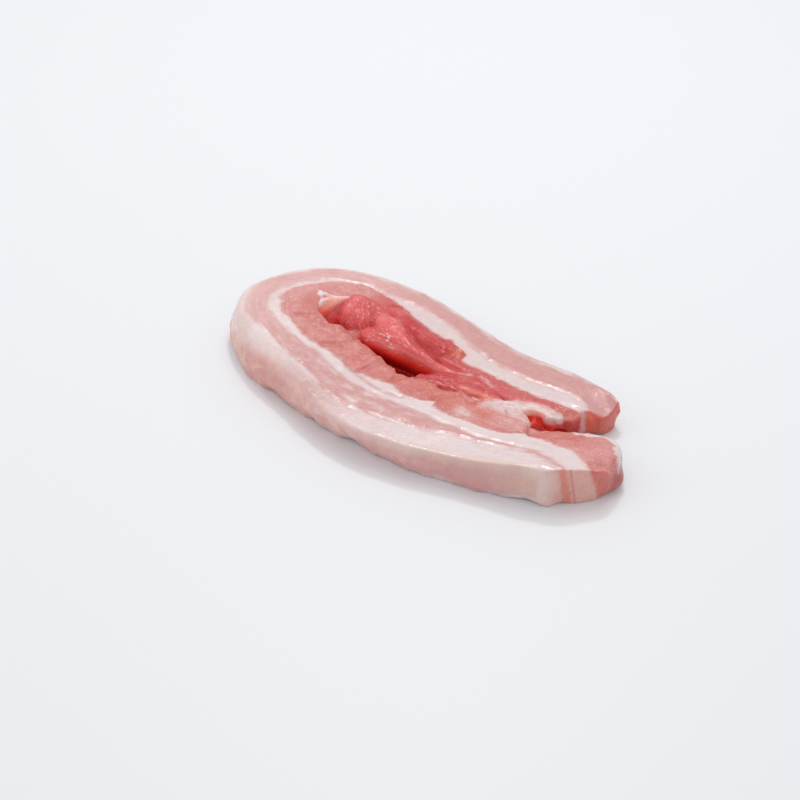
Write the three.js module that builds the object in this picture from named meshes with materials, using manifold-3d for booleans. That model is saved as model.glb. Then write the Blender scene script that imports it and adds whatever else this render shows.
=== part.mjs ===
// Pork belly slice: one strip of belly, cut across the rind, lying flat and bent
// into a hairpin. The rind runs round the outside, the lean faces the crevice.
// Millimetres, +Z up. Origin: centre of the outline on the surface it lies on.
// +X runs from the bend towards the two cut ends.
import * as THREE from 'three';
import Module from 'manifold-3d';

// ---------------------------------------------------------------- sizes
const CUT_HEIGHT = 12.0;        // height of the cut along the front leg
const CUT_HEIGHT_REAR = 10.9;   // height of the cut at the end of the rear leg
const FRONT_END_RISE = 4.4;     // extra height at the front leg's cut end
const BEND_RISE_RIND = 5.4;     // extra height at the bend, rind side
const BEND_RISE_LEAN = 3.4;     // extra height at the bend, lean side
const RIND_TUCK = 6.8;          // how far the rind tucks under, middle of front leg
const RIND_SPREAD = 3.2;        // how far the rind's foot spreads at the bend
const RIND_TUCK_REAR = 0.9;     // slight tuck along the rear leg
const SIDE_BELLY = 0.9;         // outward swell of the rind and lean sides
const TOP_EDGE = 2.4;           // rounding of the upper edges
const FOOT_EDGE = 1.6;          // rounding of the lower edges
const END_EDGE = 1.1;           // rounding of the two cut ends
const REAR_END_STEP = 5.2;      // outer lean standing proud of the rear end
const UNEVEN = 0.45;            // unevenness of the upper face
const SLICE_COLOUR = 0xe2aaa6;

const STEPS = 84;               // sections along the strip
const TOP_STEPS = 11;           // facets across the upper face
const FOOT_STEPS = 7;           // facets across the lower face
const EDGE_STEPS = 3;           // facets round each long edge
const SIDE_STEPS = 3;           // facets up each side

// Upper edges of the strip at each section, in order round the hairpin from the
// front leg's cut end through the bend to the rear leg's: [rind x, y, lean x, y].
const SECTIONS = [
  [64.9, -25.6, 82.7, -7.0],    // front leg, slanting cut end
  [52.0, -28.8, 76.2, 8.0],
  [36.0, -33.8, 57.0, 1.2],
  [17.0, -39.5, 33.0, -3.0],
  [-2.0, -41.8, 8.0, -3.2],     // front leg, widest
  [-20.0, -39.3, -11.0, -4.8],
  [-40.0, -32.6, -26.5, -0.2],
  [-59.0, -24.5, -39.5, 1.8],
  [-74.3, -14.6, -49.0, 3.8],   // into the bend
  [-80.6, -1.0, -54.5, 8.5],
  [-77.5, 15.0, -55.5, 13.0],   // tip of the crevice
  [-66.8, 31.5, -52.5, 17.0],
  [-49.0, 40.2, -44.5, 19.3],   // out of the bend
  [-27.3, 42.5, -28.0, 17.5],
  [-3.8, 38.5, -6.0, 12.2],
  [18.8, 34.4, 14.0, 9.0],
  [39.5, 35.2, 32.0, 6.0],
  [54.5, 34.0, 44.0, 10.0],
  [62.5, 29.2, 52.0, 12.8],     // rear leg, cut end
];
const LAST = SECTIONS.length - 1;

// Folds of lean in the crevice: [x, y, half width, top, underside] along each.
const MUSCLE_FOLD = [           // thick muscle fold against the rear leg
  [-47.6, 16.6, 1.6, 10.6, 4.0],
  [-45.9, 16.7, 5.6, 14.0, 1.4],
  [-42.5, 16.5, 7.8, 15.6, 0.5],
  [-34.0, 14.4, 7.2, 15.2, 0.4],
  [-24.0, 12.4, 6.2, 14.4, 0.4],
  [-12.0, 11.0, 4.9, 13.2, 0.4],
  [0.0, 10.0, 3.9, 12.2, 0.5],
  [10.0, 9.6, 2.6, 11.2, 1.6],
  [14.0, 9.8, 0.9, 9.6, 4.0],
];
const THIN_FOLD = [             // flat tongue bridging the two legs
  [-3.0, -5.2, 0.8, 10.4, 7.4],
  [-0.6, -3.2, 2.2, 11.2, 6.2],
  [7.0, 1.6, 5.6, 11.4, 5.2],
  [17.0, 4.4, 6.2, 11.2, 4.8],
  [26.0, 4.6, 5.0, 10.9, 4.8],
  [31.0, 4.0, 1.0, 9.6, 6.4],
];
const FAT_FOLD = [              // rolled fat and membrane beyond the tongue
  [20.5, -2.8, 1.0, 10.4, 7.0],
  [25.5, -1.2, 4.2, 11.8, 4.6],
  [33.5, 0.9, 6.2, 12.2, 3.6],
  [41.0, 3.2, 5.6, 11.8, 3.8],
  [45.8, 5.4, 1.4, 9.6, 5.6],
];
const CREVICE_BED = [           // lean closing the bottom of the crevice
  [-58.0, 11.4, 1.2, 3.4, 0.9],
  [-55.0, 11.2, 7.0, 3.9, 0.5],
  [-44.0, 9.8, 10.5, 4.0, 0.4],
  [-20.0, 4.6, 12.0, 3.6, 0.4],
  [8.0, 3.2, 8.6, 3.8, 0.4],
  [32.0, 2.0, 7.4, 3.6, 0.4],
  [42.0, 3.8, 6.4, 3.2, 0.5],
  [46.5, 5.6, 1.6, 2.6, 1.0],
];

// ---------------------------------------------------------------- helpers
const bump = (u, at, before, after = before) => {
  const d = (u - at) / (u < at ? before : after);
  return Math.exp(-d * d);
};
const ease = (a, b, x) => {
  const t = Math.min(1, Math.max(0, (x - a) / (b - a)));
  return t * t * (3 - 2 * t);
};

// Smooth curve through the rows of a table, u counted in rows.
function through(rows, u) {
  const n = rows.length;
  const i = Math.min(n - 2, Math.max(0, Math.floor(u)));
  const f = u - i;
  const p1 = rows[i];
  const p2 = rows[i + 1];
  const p0 = i > 0 ? rows[i - 1] : p1.map((v, k) => 2 * v - p2[k]);
  const p3 = i + 2 < n ? rows[i + 2] : p2.map((v, k) => 2 * v - p1[k]);
  return p1.map((v, k) => 0.5 * (2 * v + (p2[k] - p0[k]) * f
    + (2 * p0[k] - 5 * v + 4 * p2[k] - p3[k]) * f * f
    + (3 * v - p0[k] - 3 * p2[k] + p3[k]) * f * f * f));
}

// Height of the cut and slope of the rind at section u.
const baseHeight = (u) => CUT_HEIGHT + (CUT_HEIGHT_REAR - CUT_HEIGHT) * ease(10, LAST, u);
const rindHeight = (u) => baseHeight(u) + FRONT_END_RISE * bump(u, 0, 1.2)
  + BEND_RISE_RIND * bump(u, 8.4, 2.9, 3.6);
const leanHeight = (u) => baseHeight(u) + 0.33 * FRONT_END_RISE * bump(u, 0, 1.2)
  + BEND_RISE_LEAN * bump(u, 9.2, 3.2, 3.2);
const rindFoot = (u) => -RIND_TUCK * bump(u, 4.4, 1.4) + RIND_SPREAD * bump(u, 8.7, 1.5)
  - RIND_TUCK_REAR * ease(10.5, 13, u);

// Unevenness of the upper face, u along the strip and w from rind to lean.
const uneven = (u, w) => UNEVEN * Math.sin(Math.PI * w)
  * (0.6 * Math.sin(2.1 * u + 4 * w) + 0.5 * Math.sin(3.7 * u - 5 * w + 1));

// The outer lean stands proud at the rear end, the rest is cut shorter.
const rearStep = (u, w) => REAR_END_STEP * ease(LAST - 1.1, LAST, u)
  * (ease(0.0, 0.14, w) * (1 - ease(0.44, 0.58, w)));

// Points of a quarter turn round a corner.
function round(from, corner, to, radius, steps) {
  const a = from.clone().sub(corner);
  const b = to.clone().sub(corner);
  a.setLength(Math.min(radius, 0.45 * a.length()));
  b.setLength(Math.min(radius, 0.45 * b.length()));
  const start = corner.clone().add(a);
  const end = corner.clone().add(b);
  const points = [];
  for (let k = 0; k <= steps; k += 1) {
    const t = k / steps;
    points.push(start.clone().multiplyScalar((1 - t) * (1 - t))
      .addScaledVector(corner, 2 * t * (1 - t)).addScaledVector(end, t * t));
  }
  return points;
}

// One closed section of the strip, from the middle of the lower face round by
// the rind, over the upper face and down the lean side.
function section(u) {
  const [rx, ry, lx, ly] = through(SECTIONS, u);
  const out = new THREE.Vector3(rx - lx, ry - ly, 0).normalize();
  const rind = new THREE.Vector3(rx, ry, rindHeight(u));
  const lean = new THREE.Vector3(lx, ly, leanHeight(u));
  const rindFootPoint = new THREE.Vector3(rx, ry, 0).addScaledVector(out, rindFoot(u));
  const leanFootPoint = new THREE.Vector3(lx, ly, 0).addScaledVector(out, 0.6);
  const middle = rindFootPoint.clone().lerp(leanFootPoint, 0.5);

  const side = (a, b, away) => {
    const points = [];
    for (let k = 1; k < SIDE_STEPS; k += 1) {
      const t = k / SIDE_STEPS;
      points.push(a.clone().lerp(b, t).addScaledVector(out, away * SIDE_BELLY * 4 * t * (1 - t)));
    }
    return points;
  };
  const flat = (a, b, steps) => {
    const points = [];
    for (let k = 1; k < steps; k += 1) points.push(a.clone().lerp(b, k / steps));
    return points;
  };

  const foot1 = round(middle, rindFootPoint, rind, FOOT_EDGE, EDGE_STEPS);
  const edge1 = round(rindFootPoint, rind, lean, TOP_EDGE, EDGE_STEPS);
  const edge2 = round(rind, lean, leanFootPoint, TOP_EDGE, EDGE_STEPS);
  const foot2 = round(lean, leanFootPoint, middle, FOOT_EDGE, EDGE_STEPS);
  const ring = [
    middle,
    ...flat(middle, foot1[0], (FOOT_STEPS + 1) / 2),
    ...foot1, ...side(foot1[EDGE_STEPS], edge1[0], 1),
    ...edge1, ...flat(edge1[EDGE_STEPS], edge2[0], TOP_STEPS),
    ...edge2, ...side(edge2[EDGE_STEPS], foot2[0], -1),
    ...foot2, ...flat(foot2[EDGE_STEPS], middle, (FOOT_STEPS + 1) / 2),
  ];

  const span = Math.hypot(rx - lx, ry - ly);
  const ahead = through(SECTIONS, Math.min(LAST, u + 0.02));
  const behind = through(SECTIONS, Math.max(0, u - 0.02));
  const along = new THREE.Vector3(ahead[0] + ahead[2] - behind[0] - behind[2],
    ahead[1] + ahead[3] - behind[1] - behind[3], 0).normalize();
  for (const p of ring) {
    const w = ((rx - p.x) * out.x + (ry - p.y) * out.y) / span;
    const z = p.z / rind.z;
    if (z > 0.6) p.z += uneven(u, Math.min(1, Math.max(0, w)));
    p.addScaledVector(along, rearStep(u, w));
  }
  ring.wide = out;
  return ring;
}

// A ring drawn in towards its own middle by a distance, for rounded cut ends.
function drawnIn(ring, distance) {
  const box = new THREE.Box3().setFromPoints(ring);
  const centre = box.getCenter(new THREE.Vector3());
  const high = 0.5 * (box.max.z - box.min.z);
  const wide = Math.max(...ring.map((p) => Math.hypot(p.x - centre.x, p.y - centre.y)));
  const smaller = ring.map((p) => new THREE.Vector3(
    centre.x + (p.x - centre.x) * (1 - distance / wide),
    centre.y + (p.y - centre.y) * (1 - distance / wide),
    centre.z + (p.z - centre.z) * (1 - distance / high)));
  smaller.wide = ring.wide;
  return smaller;
}

// Triangles that close a ring, laced from its upper line to its lower line while
// both run from one side of the ring to the other.
function across(ring) {
  const m = ring.length;
  const side = ring.map((p) => p.dot(ring.wide));
  const first = side.indexOf(Math.min(...side));
  const last = side.indexOf(Math.max(...side));
  const triangles = [];
  let a = first;
  let b = first;
  while (a !== last || b !== last) {
    const nextA = (a + 1) % m;
    const nextB = (b - 1 + m) % m;
    if (b === last || (a !== last && side[nextA] <= side[nextB])) {
      if (a !== b && nextA !== b) triangles.push([a, nextA, b]);
      a = nextA;
    } else {
      if (a !== b && nextB !== a) triangles.push([nextB, b, a]);
      b = nextB;
    }
  }
  return triangles;
}

// Closed skin over a row of rings, as vertices and triangles facing outwards.
function skin(rings) {
  const m = rings[0].length;
  const vertices = rings.flat().map((p) => [p.x, p.y, p.z]);
  const triangles = [];
  for (let i = 0; i + 1 < rings.length; i += 1) {
    for (let j = 0; j < m; j += 1) {
      const a = i * m + j;
      const b = i * m + (j + 1) % m;
      triangles.push([a, b, b + m], [a, b + m, a + m]);
    }
  }
  for (const t of across(rings[0])) triangles.push([t[2], t[1], t[0]]);
  const end = (rings.length - 1) * m;
  for (const t of across(rings[rings.length - 1])) triangles.push(t.map((k) => end + k));
  let volume = 0;
  for (const [a, b, c] of triangles) {
    const [p, q, r] = [vertices[a], vertices[b], vertices[c]].map((v) => new THREE.Vector3(...v));
    volume += p.dot(q.cross(r)) / 6;
  }
  if (volume < 0) triangles.forEach((t) => t.reverse());
  return { vertices, triangles };
}

// The strip: sections at even steps, each cut end rounded off.
function strip() {
  const rings = [];
  for (let i = 0; i <= STEPS; i += 1) rings.push(section(LAST * i / STEPS));
  const capped = (ring, next) => {
    const away = ring[0].clone().sub(next[0]).setZ(0).normalize();
    return [0.4, 0.8, 1].map((t) => {
      const smaller = drawnIn(ring, END_EDGE * (1 - Math.sqrt(1 - t * t)));
      smaller.forEach((p) => p.addScaledVector(away, END_EDGE * t));
      return smaller;
    });
  };
  const front = capped(rings[0], rings[1]);
  const rear = capped(rings[STEPS], rings[STEPS - 1]);
  return skin([...front.reverse(), ...rings, ...rear]);
}

// A fold of lean: a rounded body along a table of its middle line and sizes.
function fold(rows, steps, sides) {
  const rings = [];
  for (let i = 0; i <= steps; i += 1) {
    const u = (rows.length - 1) * i / steps;
    const [x, y, half, top, under] = through(rows, u);
    const a = through(rows, Math.min(rows.length - 1, u + 0.05));
    const b = through(rows, Math.max(0, u - 0.05));
    const ring = [];
    ring.wide = new THREE.Vector3(b[1] - a[1], a[0] - b[0], 0).normalize();
    for (let k = 0; k < sides; k += 1) {
      const t = 2 * Math.PI * (k + 0.5) / sides;
      const c = Math.sign(Math.cos(t)) * Math.abs(Math.cos(t)) ** 0.8;
      const s = Math.sign(Math.sin(t)) * Math.abs(Math.sin(t)) ** 0.8;
      ring.push(new THREE.Vector3(x, y, 0.5 * (top + under) + 0.5 * (top - under) * s)
        .addScaledVector(ring.wide, half * c));
    }
    rings.push(ring);
  }
  return skin(rings);
}

// ---------------------------------------------------------------- one solid
const wasm = await Module();
wasm.setup();
const solid = ({ vertices, triangles }) => new wasm.Manifold(new wasm.Mesh({
  numProp: 3,
  vertProperties: new Float32Array(vertices.flat()),
  triVerts: new Uint32Array(triangles.flat()),
}));

const slice = solid(strip())
  .add(solid(fold(MUSCLE_FOLD, 22, 18)))
  .add(solid(fold(THIN_FOLD, 14, 14)))
  .add(solid(fold(FAT_FOLD, 12, 14)))
  .add(solid(fold(CREVICE_BED, 24, 10)));

const mesh = slice.getMesh();
const geometry = new THREE.BufferGeometry();
geometry.setAttribute('position', new THREE.BufferAttribute(new Float32Array(mesh.vertProperties), 3));
geometry.setIndex(new THREE.BufferAttribute(new Uint32Array(mesh.triVerts), 1));

// Set the outline's middle over the origin, with the lower face at z = 0.
geometry.computeBoundingBox();
const { min, max } = geometry.boundingBox;
geometry.translate(-0.5 * (min.x + max.x), -0.5 * (min.y + max.y), -min.z);
geometry.computeVertexNormals();

const part = new THREE.Group();
const piece = new THREE.Mesh(geometry, new THREE.MeshStandardMaterial({
  color: SLICE_COLOUR, roughness: 0.35, metalness: 0,
}));
piece.name = 'slice';
part.add(piece);

export default part;
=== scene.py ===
"""Raw pork belly slice, bent into a hairpin: the looks of its one solid.

The strip and its folds are laid out again from the same sizes as the solid, at a finer
step, grown together, then given their grain, scallops, ragged edges and grooves as
geometry. Each point keeps where it lies between rind and lean, and the material reads that.
"""
import math

import bpy
import numpy as np
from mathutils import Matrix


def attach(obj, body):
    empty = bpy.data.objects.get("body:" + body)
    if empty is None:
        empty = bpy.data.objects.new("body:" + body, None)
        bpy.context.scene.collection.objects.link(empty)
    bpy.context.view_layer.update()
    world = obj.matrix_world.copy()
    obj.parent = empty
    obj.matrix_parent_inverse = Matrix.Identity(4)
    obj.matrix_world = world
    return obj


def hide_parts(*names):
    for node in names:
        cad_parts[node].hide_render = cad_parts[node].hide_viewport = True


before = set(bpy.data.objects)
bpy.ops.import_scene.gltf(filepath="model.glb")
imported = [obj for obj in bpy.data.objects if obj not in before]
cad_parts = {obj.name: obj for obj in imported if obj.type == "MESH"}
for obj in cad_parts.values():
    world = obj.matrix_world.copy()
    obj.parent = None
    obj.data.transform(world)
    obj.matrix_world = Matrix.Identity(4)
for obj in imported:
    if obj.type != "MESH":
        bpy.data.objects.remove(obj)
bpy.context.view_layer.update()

import openvdb as vdb
from mathutils import Matrix
from mathutils.kdtree import KDTree

MM = 0.001

# ------------------------------------------------------------------ sizes, mm
CUT_HEIGHT, CUT_HEIGHT_REAR = 12.0, 10.9
FRONT_END_RISE, BEND_RISE_RIND, BEND_RISE_LEAN = 4.4, 5.4, 3.4
RIND_TUCK, RIND_SPREAD, RIND_BULGE, RIND_TUCK_REAR = 6.8, 2.3, 2.2, 0.9
SIDE_BELLY, FOOT_EDGE, END_EDGE = 0.9, 1.6, 1.1
REAR_END_STEP, END_TUCK = 6.2, 1.0
VOXEL, SKIN_FACES = 0.52, 190000

# [rind x, y, lean x, y] of the upper edges, front cut end -> bend -> rear cut end
SECTIONS = np.array([
    (64.9, -25.6, 82.7, -7.0), (52.0, -28.8, 75.6, 9.0), (36.0, -33.8, 57.0, 1.2),
    (17.0, -39.5, 33.0, -3.0), (-2.0, -41.8, 8.0, -3.2), (-20.0, -39.3, -11.0, -4.8),
    (-40.0, -32.6, -26.5, -0.2), (-59.0, -24.5, -39.5, 1.8), (-74.3, -14.6, -49.0, 3.8),
    (-80.6, -1.0, -54.5, 8.5), (-77.5, 15.0, -55.5, 13.0), (-66.8, 31.5, -52.5, 17.0),
    (-49.0, 40.2, -44.5, 19.3), (-27.3, 42.5, -28.0, 17.5), (-3.8, 38.5, -6.0, 12.2),
    (18.8, 34.4, 14.0, 9.0), (39.5, 35.4, 32.0, 6.0), (54.5, 34.4, 44.0, 10.0),
    (62.6, 30.6, 52.0, 12.8)])
LAST = len(SECTIONS) - 1
# [x, y, half width, top, underside] along each fold in and beside the crevice
FOLDS = {
    "bed": np.array([
        (-58.0, 11.4, 1.2, 3.4, 0.3), (-55.0, 11.2, 7.0, 3.9, 0.2), (-44.0, 9.8, 10.5, 4.0, 0.2),
        (-20.0, 4.6, 12.0, 3.6, 0.2), (8.0, 3.2, 8.6, 3.8, 0.2), (32.0, 2.0, 7.4, 3.6, 0.2),
        (42.0, 3.8, 6.4, 3.2, 0.2), (46.5, 5.6, 1.6, 2.6, 0.3)]),
    "mass": np.array([
        (-47.6, 21.6, 1.4, 13.0, 2.0), (-44.0, 20.8, 4.4, 13.8, 0.3), (-38.0, 20.4, 6.0, 13.4, 0.3), (-30.0, 19.0, 6.6, 12.6, 0.3),
        (-22.0, 16.6, 6.2, 12.2, 0.3), (-14.0, 14.6, 5.0, 11.0, 0.3), (-4.0, 12.6, 4.4, 10.0, 0.3), (8.0, 11.2, 2.4, 10.2, 0.3)]),
    "lobe": np.array([
        (-46.8, 24.0, 1.2, 13.4, 8.0), (-45.4, 22.4, 4.6, 14.8, 3.0), (-42.4, 18.4, 7.2, 15.6, 0.6),
        (-38.8, 14.0, 7.0, 15.4, 0.3), (-35.8, 10.6, 5.0, 13.2, 0.3), (-34.6, 9.2, 1.8, 10.4, 0.6)]),
    "bundle": np.array([
        (-33.6, 17.8, 1.8, 13.4, 4.0), (-31.0, 17.2, 4.6, 14.8, 0.4), (-26.5, 15.8, 5.8, 15.2, 0.4),
        (-21.0, 13.6, 4.8, 14.4, 0.4), (-16.4, 12.0, 1.8, 12.6, 1.0)]),
    "wall": np.array([
        (-35.0, 10.0, 2.0, 9.5, 0.3), (-31.0, 10.6, 4.8, 12.0, 0.3), (-24.0, 12.0, 6.2, 13.5, 0.3),
        (-14.0, 11.2, 5.2, 13.2, 0.3), (-6.0, 9.3, 3.6, 12.6, 0.3), (0.0, 8.2, 2.7, 12.0, 0.3),
        (6.0, 8.0, 2.3, 11.5, 0.3), (13.0, 9.0, 1.4, 10.9, 2.0)]),
    "second": np.array([
        (-33.4, 25.4, 1.2, 13.0, 9.0), (-30.5, 24.8, 3.6, 14.1, 6.0), (-22.0, 21.4, 4.7, 14.4, 5.0),
        (-12.0, 17.8, 4.6, 14.2, 6.0), (-5.0, 17.2, 4.2, 14.0, 7.0), (0.0, 17.4, 4.2, 13.7, 8.0), (3.2, 17.6, 2.6, 13.1, 9.0)]),
    "fill": np.array([
        (-2.0, -3.4, 1.2, 9.2, 0.3), (6.0, -1.4, 3.4, 10.3, 0.3), (14.0, 0.6, 4.4, 10.7, 0.3), (22.0, 0.6, 4.4, 10.8, 0.3),
        (29.0, 1.0, 4.2, 11.0, 0.3), (36.0, 3.6, 3.4, 9.4, 0.3), (39.4, 4.6, 1.6, 7.0, 0.3)]),
    "thin": np.array([
        (-1.2, -4.4, 0.5, 11.5, 9.5), (1.5, -1.8, 2.6, 11.9, 8.5), (7.0, 1.9, 4.6, 11.9, 8.0), (13.0, 4.6, 5.9, 11.8, 7.5),
        (19.0, 5.2, 5.6, 11.7, 7.5), (26.0, 4.4, 3.4, 11.5, 8.0), (31.6, 4.6, 0.5, 11.0, 9.5)]),
    "membrane": np.array([
        (25.6, -1.9, 0.6, 11.3, 9.0), (29.0, 0.2, 2.4, 11.7, 8.0), (33.0, 2.4, 3.3, 11.8, 7.0), (37.5, 5.4, 3.2, 11.6, 7.0),
        (41.5, 8.4, 1.9, 11.3, 7.0), (45.0, 9.6, 1.8, 10.9, 6.5), (48.0, 9.4, 2.9, 11.0, 4.5), (50.6, 10.4, 1.6, 10.4, 5.0)]),
    "hem": np.array([
        (28.0, -4.0, 1.0, 11.6, 6.0), (32.5, -2.0, 2.6, 11.8, 5.0), (37.0, -0.6, 3.2, 11.7, 5.0), (41.0, 0.6, 3.2, 11.5, 4.0),
        (43.2, -0.4, 2.5, 11.3, 4.0)]),
    "raw": np.array([
        (38.0, 3.6, 1.5, 8.0, 0.3), (42.5, 6.0, 3.6, 7.8, 0.3), (46.0, 7.0, 3.4, 6.4, 0.3), (50.0, 9.6, 2.4, 4.2, 0.3), (53.5, 11.5, 1.0, 3.2, 0.4)]),
}
BLEND = {"bed": 0.6, "mass": 1.4, "lobe": 0.5, "bundle": 0.45, "wall": 0.6, "second": 0.45, "fill": 0.8, "thin": 0.3, "membrane": 0.9, "hem": 1.2, "raw": 0.6}
# [x, y, radius, top, blend] of lumps along the front leg's torn edge, on the rear leg's and at the cut ends
LUMPS = np.array([
    (-48.8, 2.4, 3.2, 14.3, 1.6), (-40.4, 1.3, 4.6, 13.7, 2.4), (-34.6, 0.5, 2.6, 13.0, 2.0), (-26.4, -2.0, 3.0, 12.8, 1.6),
    (-36.6, 5.6, 3.8, 11.2, 1.6), (-32.0, 1.5, 3.2, 11.9, 2.0), (-28.7, 0.5, 3.0, 11.8, 2.0), (-25.4, -0.4, 2.9, 11.6, 2.0), (-22.1, -1.2, 2.8, 11.5, 2.0), (-18.8, -2.0, 2.7, 11.4, 2.0), (-15.5, -3.0, 2.5, 11.3, 2.0), (-12.2, -4.2, 2.3, 11.2, 1.6),
    (-9.2, -5.6, 1.9, 12.4, 0.7), (-5.4, -6.0, 1.8, 12.3, 0.7), (52.0, 14.2, 3.4, 10.8, 2.5),
    (52.6, 0.2, 2.8, 10.0, 1.6), (56.6, 1.6, 3.4, 10.8, 2.0), (61.0, 3.0, 3.8, 11.6, 2.0), (66.2, 5.0, 3.4, 12.4, 2.0), (77.6, -0.6, 5.6, 7.6, 3.0), (73.0, 6.6, 4.4, 10.6, 3.0)])
# rim of the crevice's end in the bend, from which a slope runs down into it
RIM = np.array([(-57.4, 8.4), (-55.7, 13.4), (-53.0, 17.0), (-50.0, 19.3), (-46.5, 20.8)])


# ------------------------------------------------------------------ helpers
def bump(u, at, before, after=None):
    d = (u - at) / np.where(u < at, before, after or before)
    return np.exp(-d * d)


def ease(a, b, x):
    t = np.clip((x - a) / (b - a), 0, 1)
    return t * t * (3 - 2 * t)


def through(rows, u):
    """Smooth curve through the rows of a table, u counted in rows."""
    u = np.asarray(u, float)
    i = np.clip(np.floor(u).astype(int), 0, len(rows) - 2)
    f = (u - i)[:, None]
    p = np.vstack([2 * rows[0] - rows[1], rows, 2 * rows[-1] - rows[-2]])
    a, b, c, d = p[i], p[i + 1], p[i + 2], p[i + 3]
    return 0.5 * (2 * b + (c - a) * f + (2 * a - 5 * b + 4 * c - d) * f**2 + (3 * b - a - 3 * c + d) * f**3)


def unit(v):
    return v / np.maximum(np.linalg.norm(v, axis=-1, keepdims=True), 1e-9)


def base_height(u):
    return CUT_HEIGHT + (CUT_HEIGHT_REAR - CUT_HEIGHT) * ease(10, LAST, u)


def rind_height(u):
    return base_height(u) + FRONT_END_RISE * bump(u, 0, 1.2) + BEND_RISE_RIND * bump(u, 8.4, 2.9, 3.6)


def lean_height(u):
    return base_height(u) + 0.33 * FRONT_END_RISE * bump(u, 0, 1.2) + BEND_RISE_LEAN * bump(u, 9.2, 3.2, 3.2)


def rind_foot(u):
    return -RIND_TUCK * bump(u, 4.1, 1.5, 1.6) + RIND_SPREAD * bump(u, 8.7, 1.5) + RIND_BULGE * bump(u, 6.85, 0.55) - RIND_TUCK_REAR * ease(10.5, 13, u)


def _lattice(i, j, k, seed):
    h = (i * 374761393 + j * 668265263 + k * 1442695041 + seed * 974634777) & 0xFFFFFFFF
    h = ((h ^ (h >> 13)) * 1274126177) & 0xFFFFFFFF
    h = ((h ^ (h >> 16)) * 2246822519) & 0xFFFFFFFF
    return h ^ (h >> 15)


def perlin(p, seed=0):
    """Gradient noise, about -1 to 1, of points given as an (n, 3) array."""
    p = np.asarray(p, float)
    c = np.floor(p).astype(np.int64)
    f = p - c
    t = f * f * f * (f * (f * 6 - 15) + 10)
    total = np.zeros(len(p))
    for dx in (0, 1):
        for dy in (0, 1):
            for dz in (0, 1):
                h = _lattice(c[:, 0] + dx, c[:, 1] + dy, c[:, 2] + dz, seed)
                a = (h & 0xFFFF) * (2 * math.pi / 65536)
                z = ((h >> 16) & 0xFFFF) / 32767.5 - 1
                r = np.sqrt(np.maximum(0, 1 - z * z))
                g = r * np.cos(a) * (f[:, 0] - dx) + r * np.sin(a) * (f[:, 1] - dy) + z * (f[:, 2] - dz)
                w = (t[:, 0] if dx else 1 - t[:, 0]) * (t[:, 1] if dy else 1 - t[:, 1]) * (t[:, 2] if dz else 1 - t[:, 2])
                total += w * g
    return total * 1.6


def fbm(p, octaves=3, seed=0, gain=0.5):
    total, a, p = 0.0, 1.0, np.asarray(p, float)
    for o in range(octaves):
        total = total + a * perlin(p * 2**o, seed + 17 * o)
        a *= gain
    return total


# ------------------------------------------------------------------ rough solids
def corner(frm, c, to, radius, steps):
    a, b = frm - c, to - c
    la, lb = np.linalg.norm(a, axis=1), np.linalg.norm(b, axis=1)
    a = a / la[:, None] * np.minimum(radius, 0.45 * la)[:, None]
    b = b / lb[:, None] * np.minimum(radius, 0.45 * lb)[:, None]
    t = np.linspace(0, 1, steps + 1)[None, :, None]
    return (c + a)[:, None] * (1 - t)**2 + c[:, None] * 2 * t * (1 - t) + (c + b)[:, None] * t**2


def rind_edge(u):
    return 1.7 + 4.6 * bump(u, 7.0, 2.2, 2.4)


def rear_step(u, w):
    return REAR_END_STEP * ease(LAST - 1.1, LAST, u) * np.clip(w / 0.62, 0, 1) * (1 - ease(0.60, 0.66, w))


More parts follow.
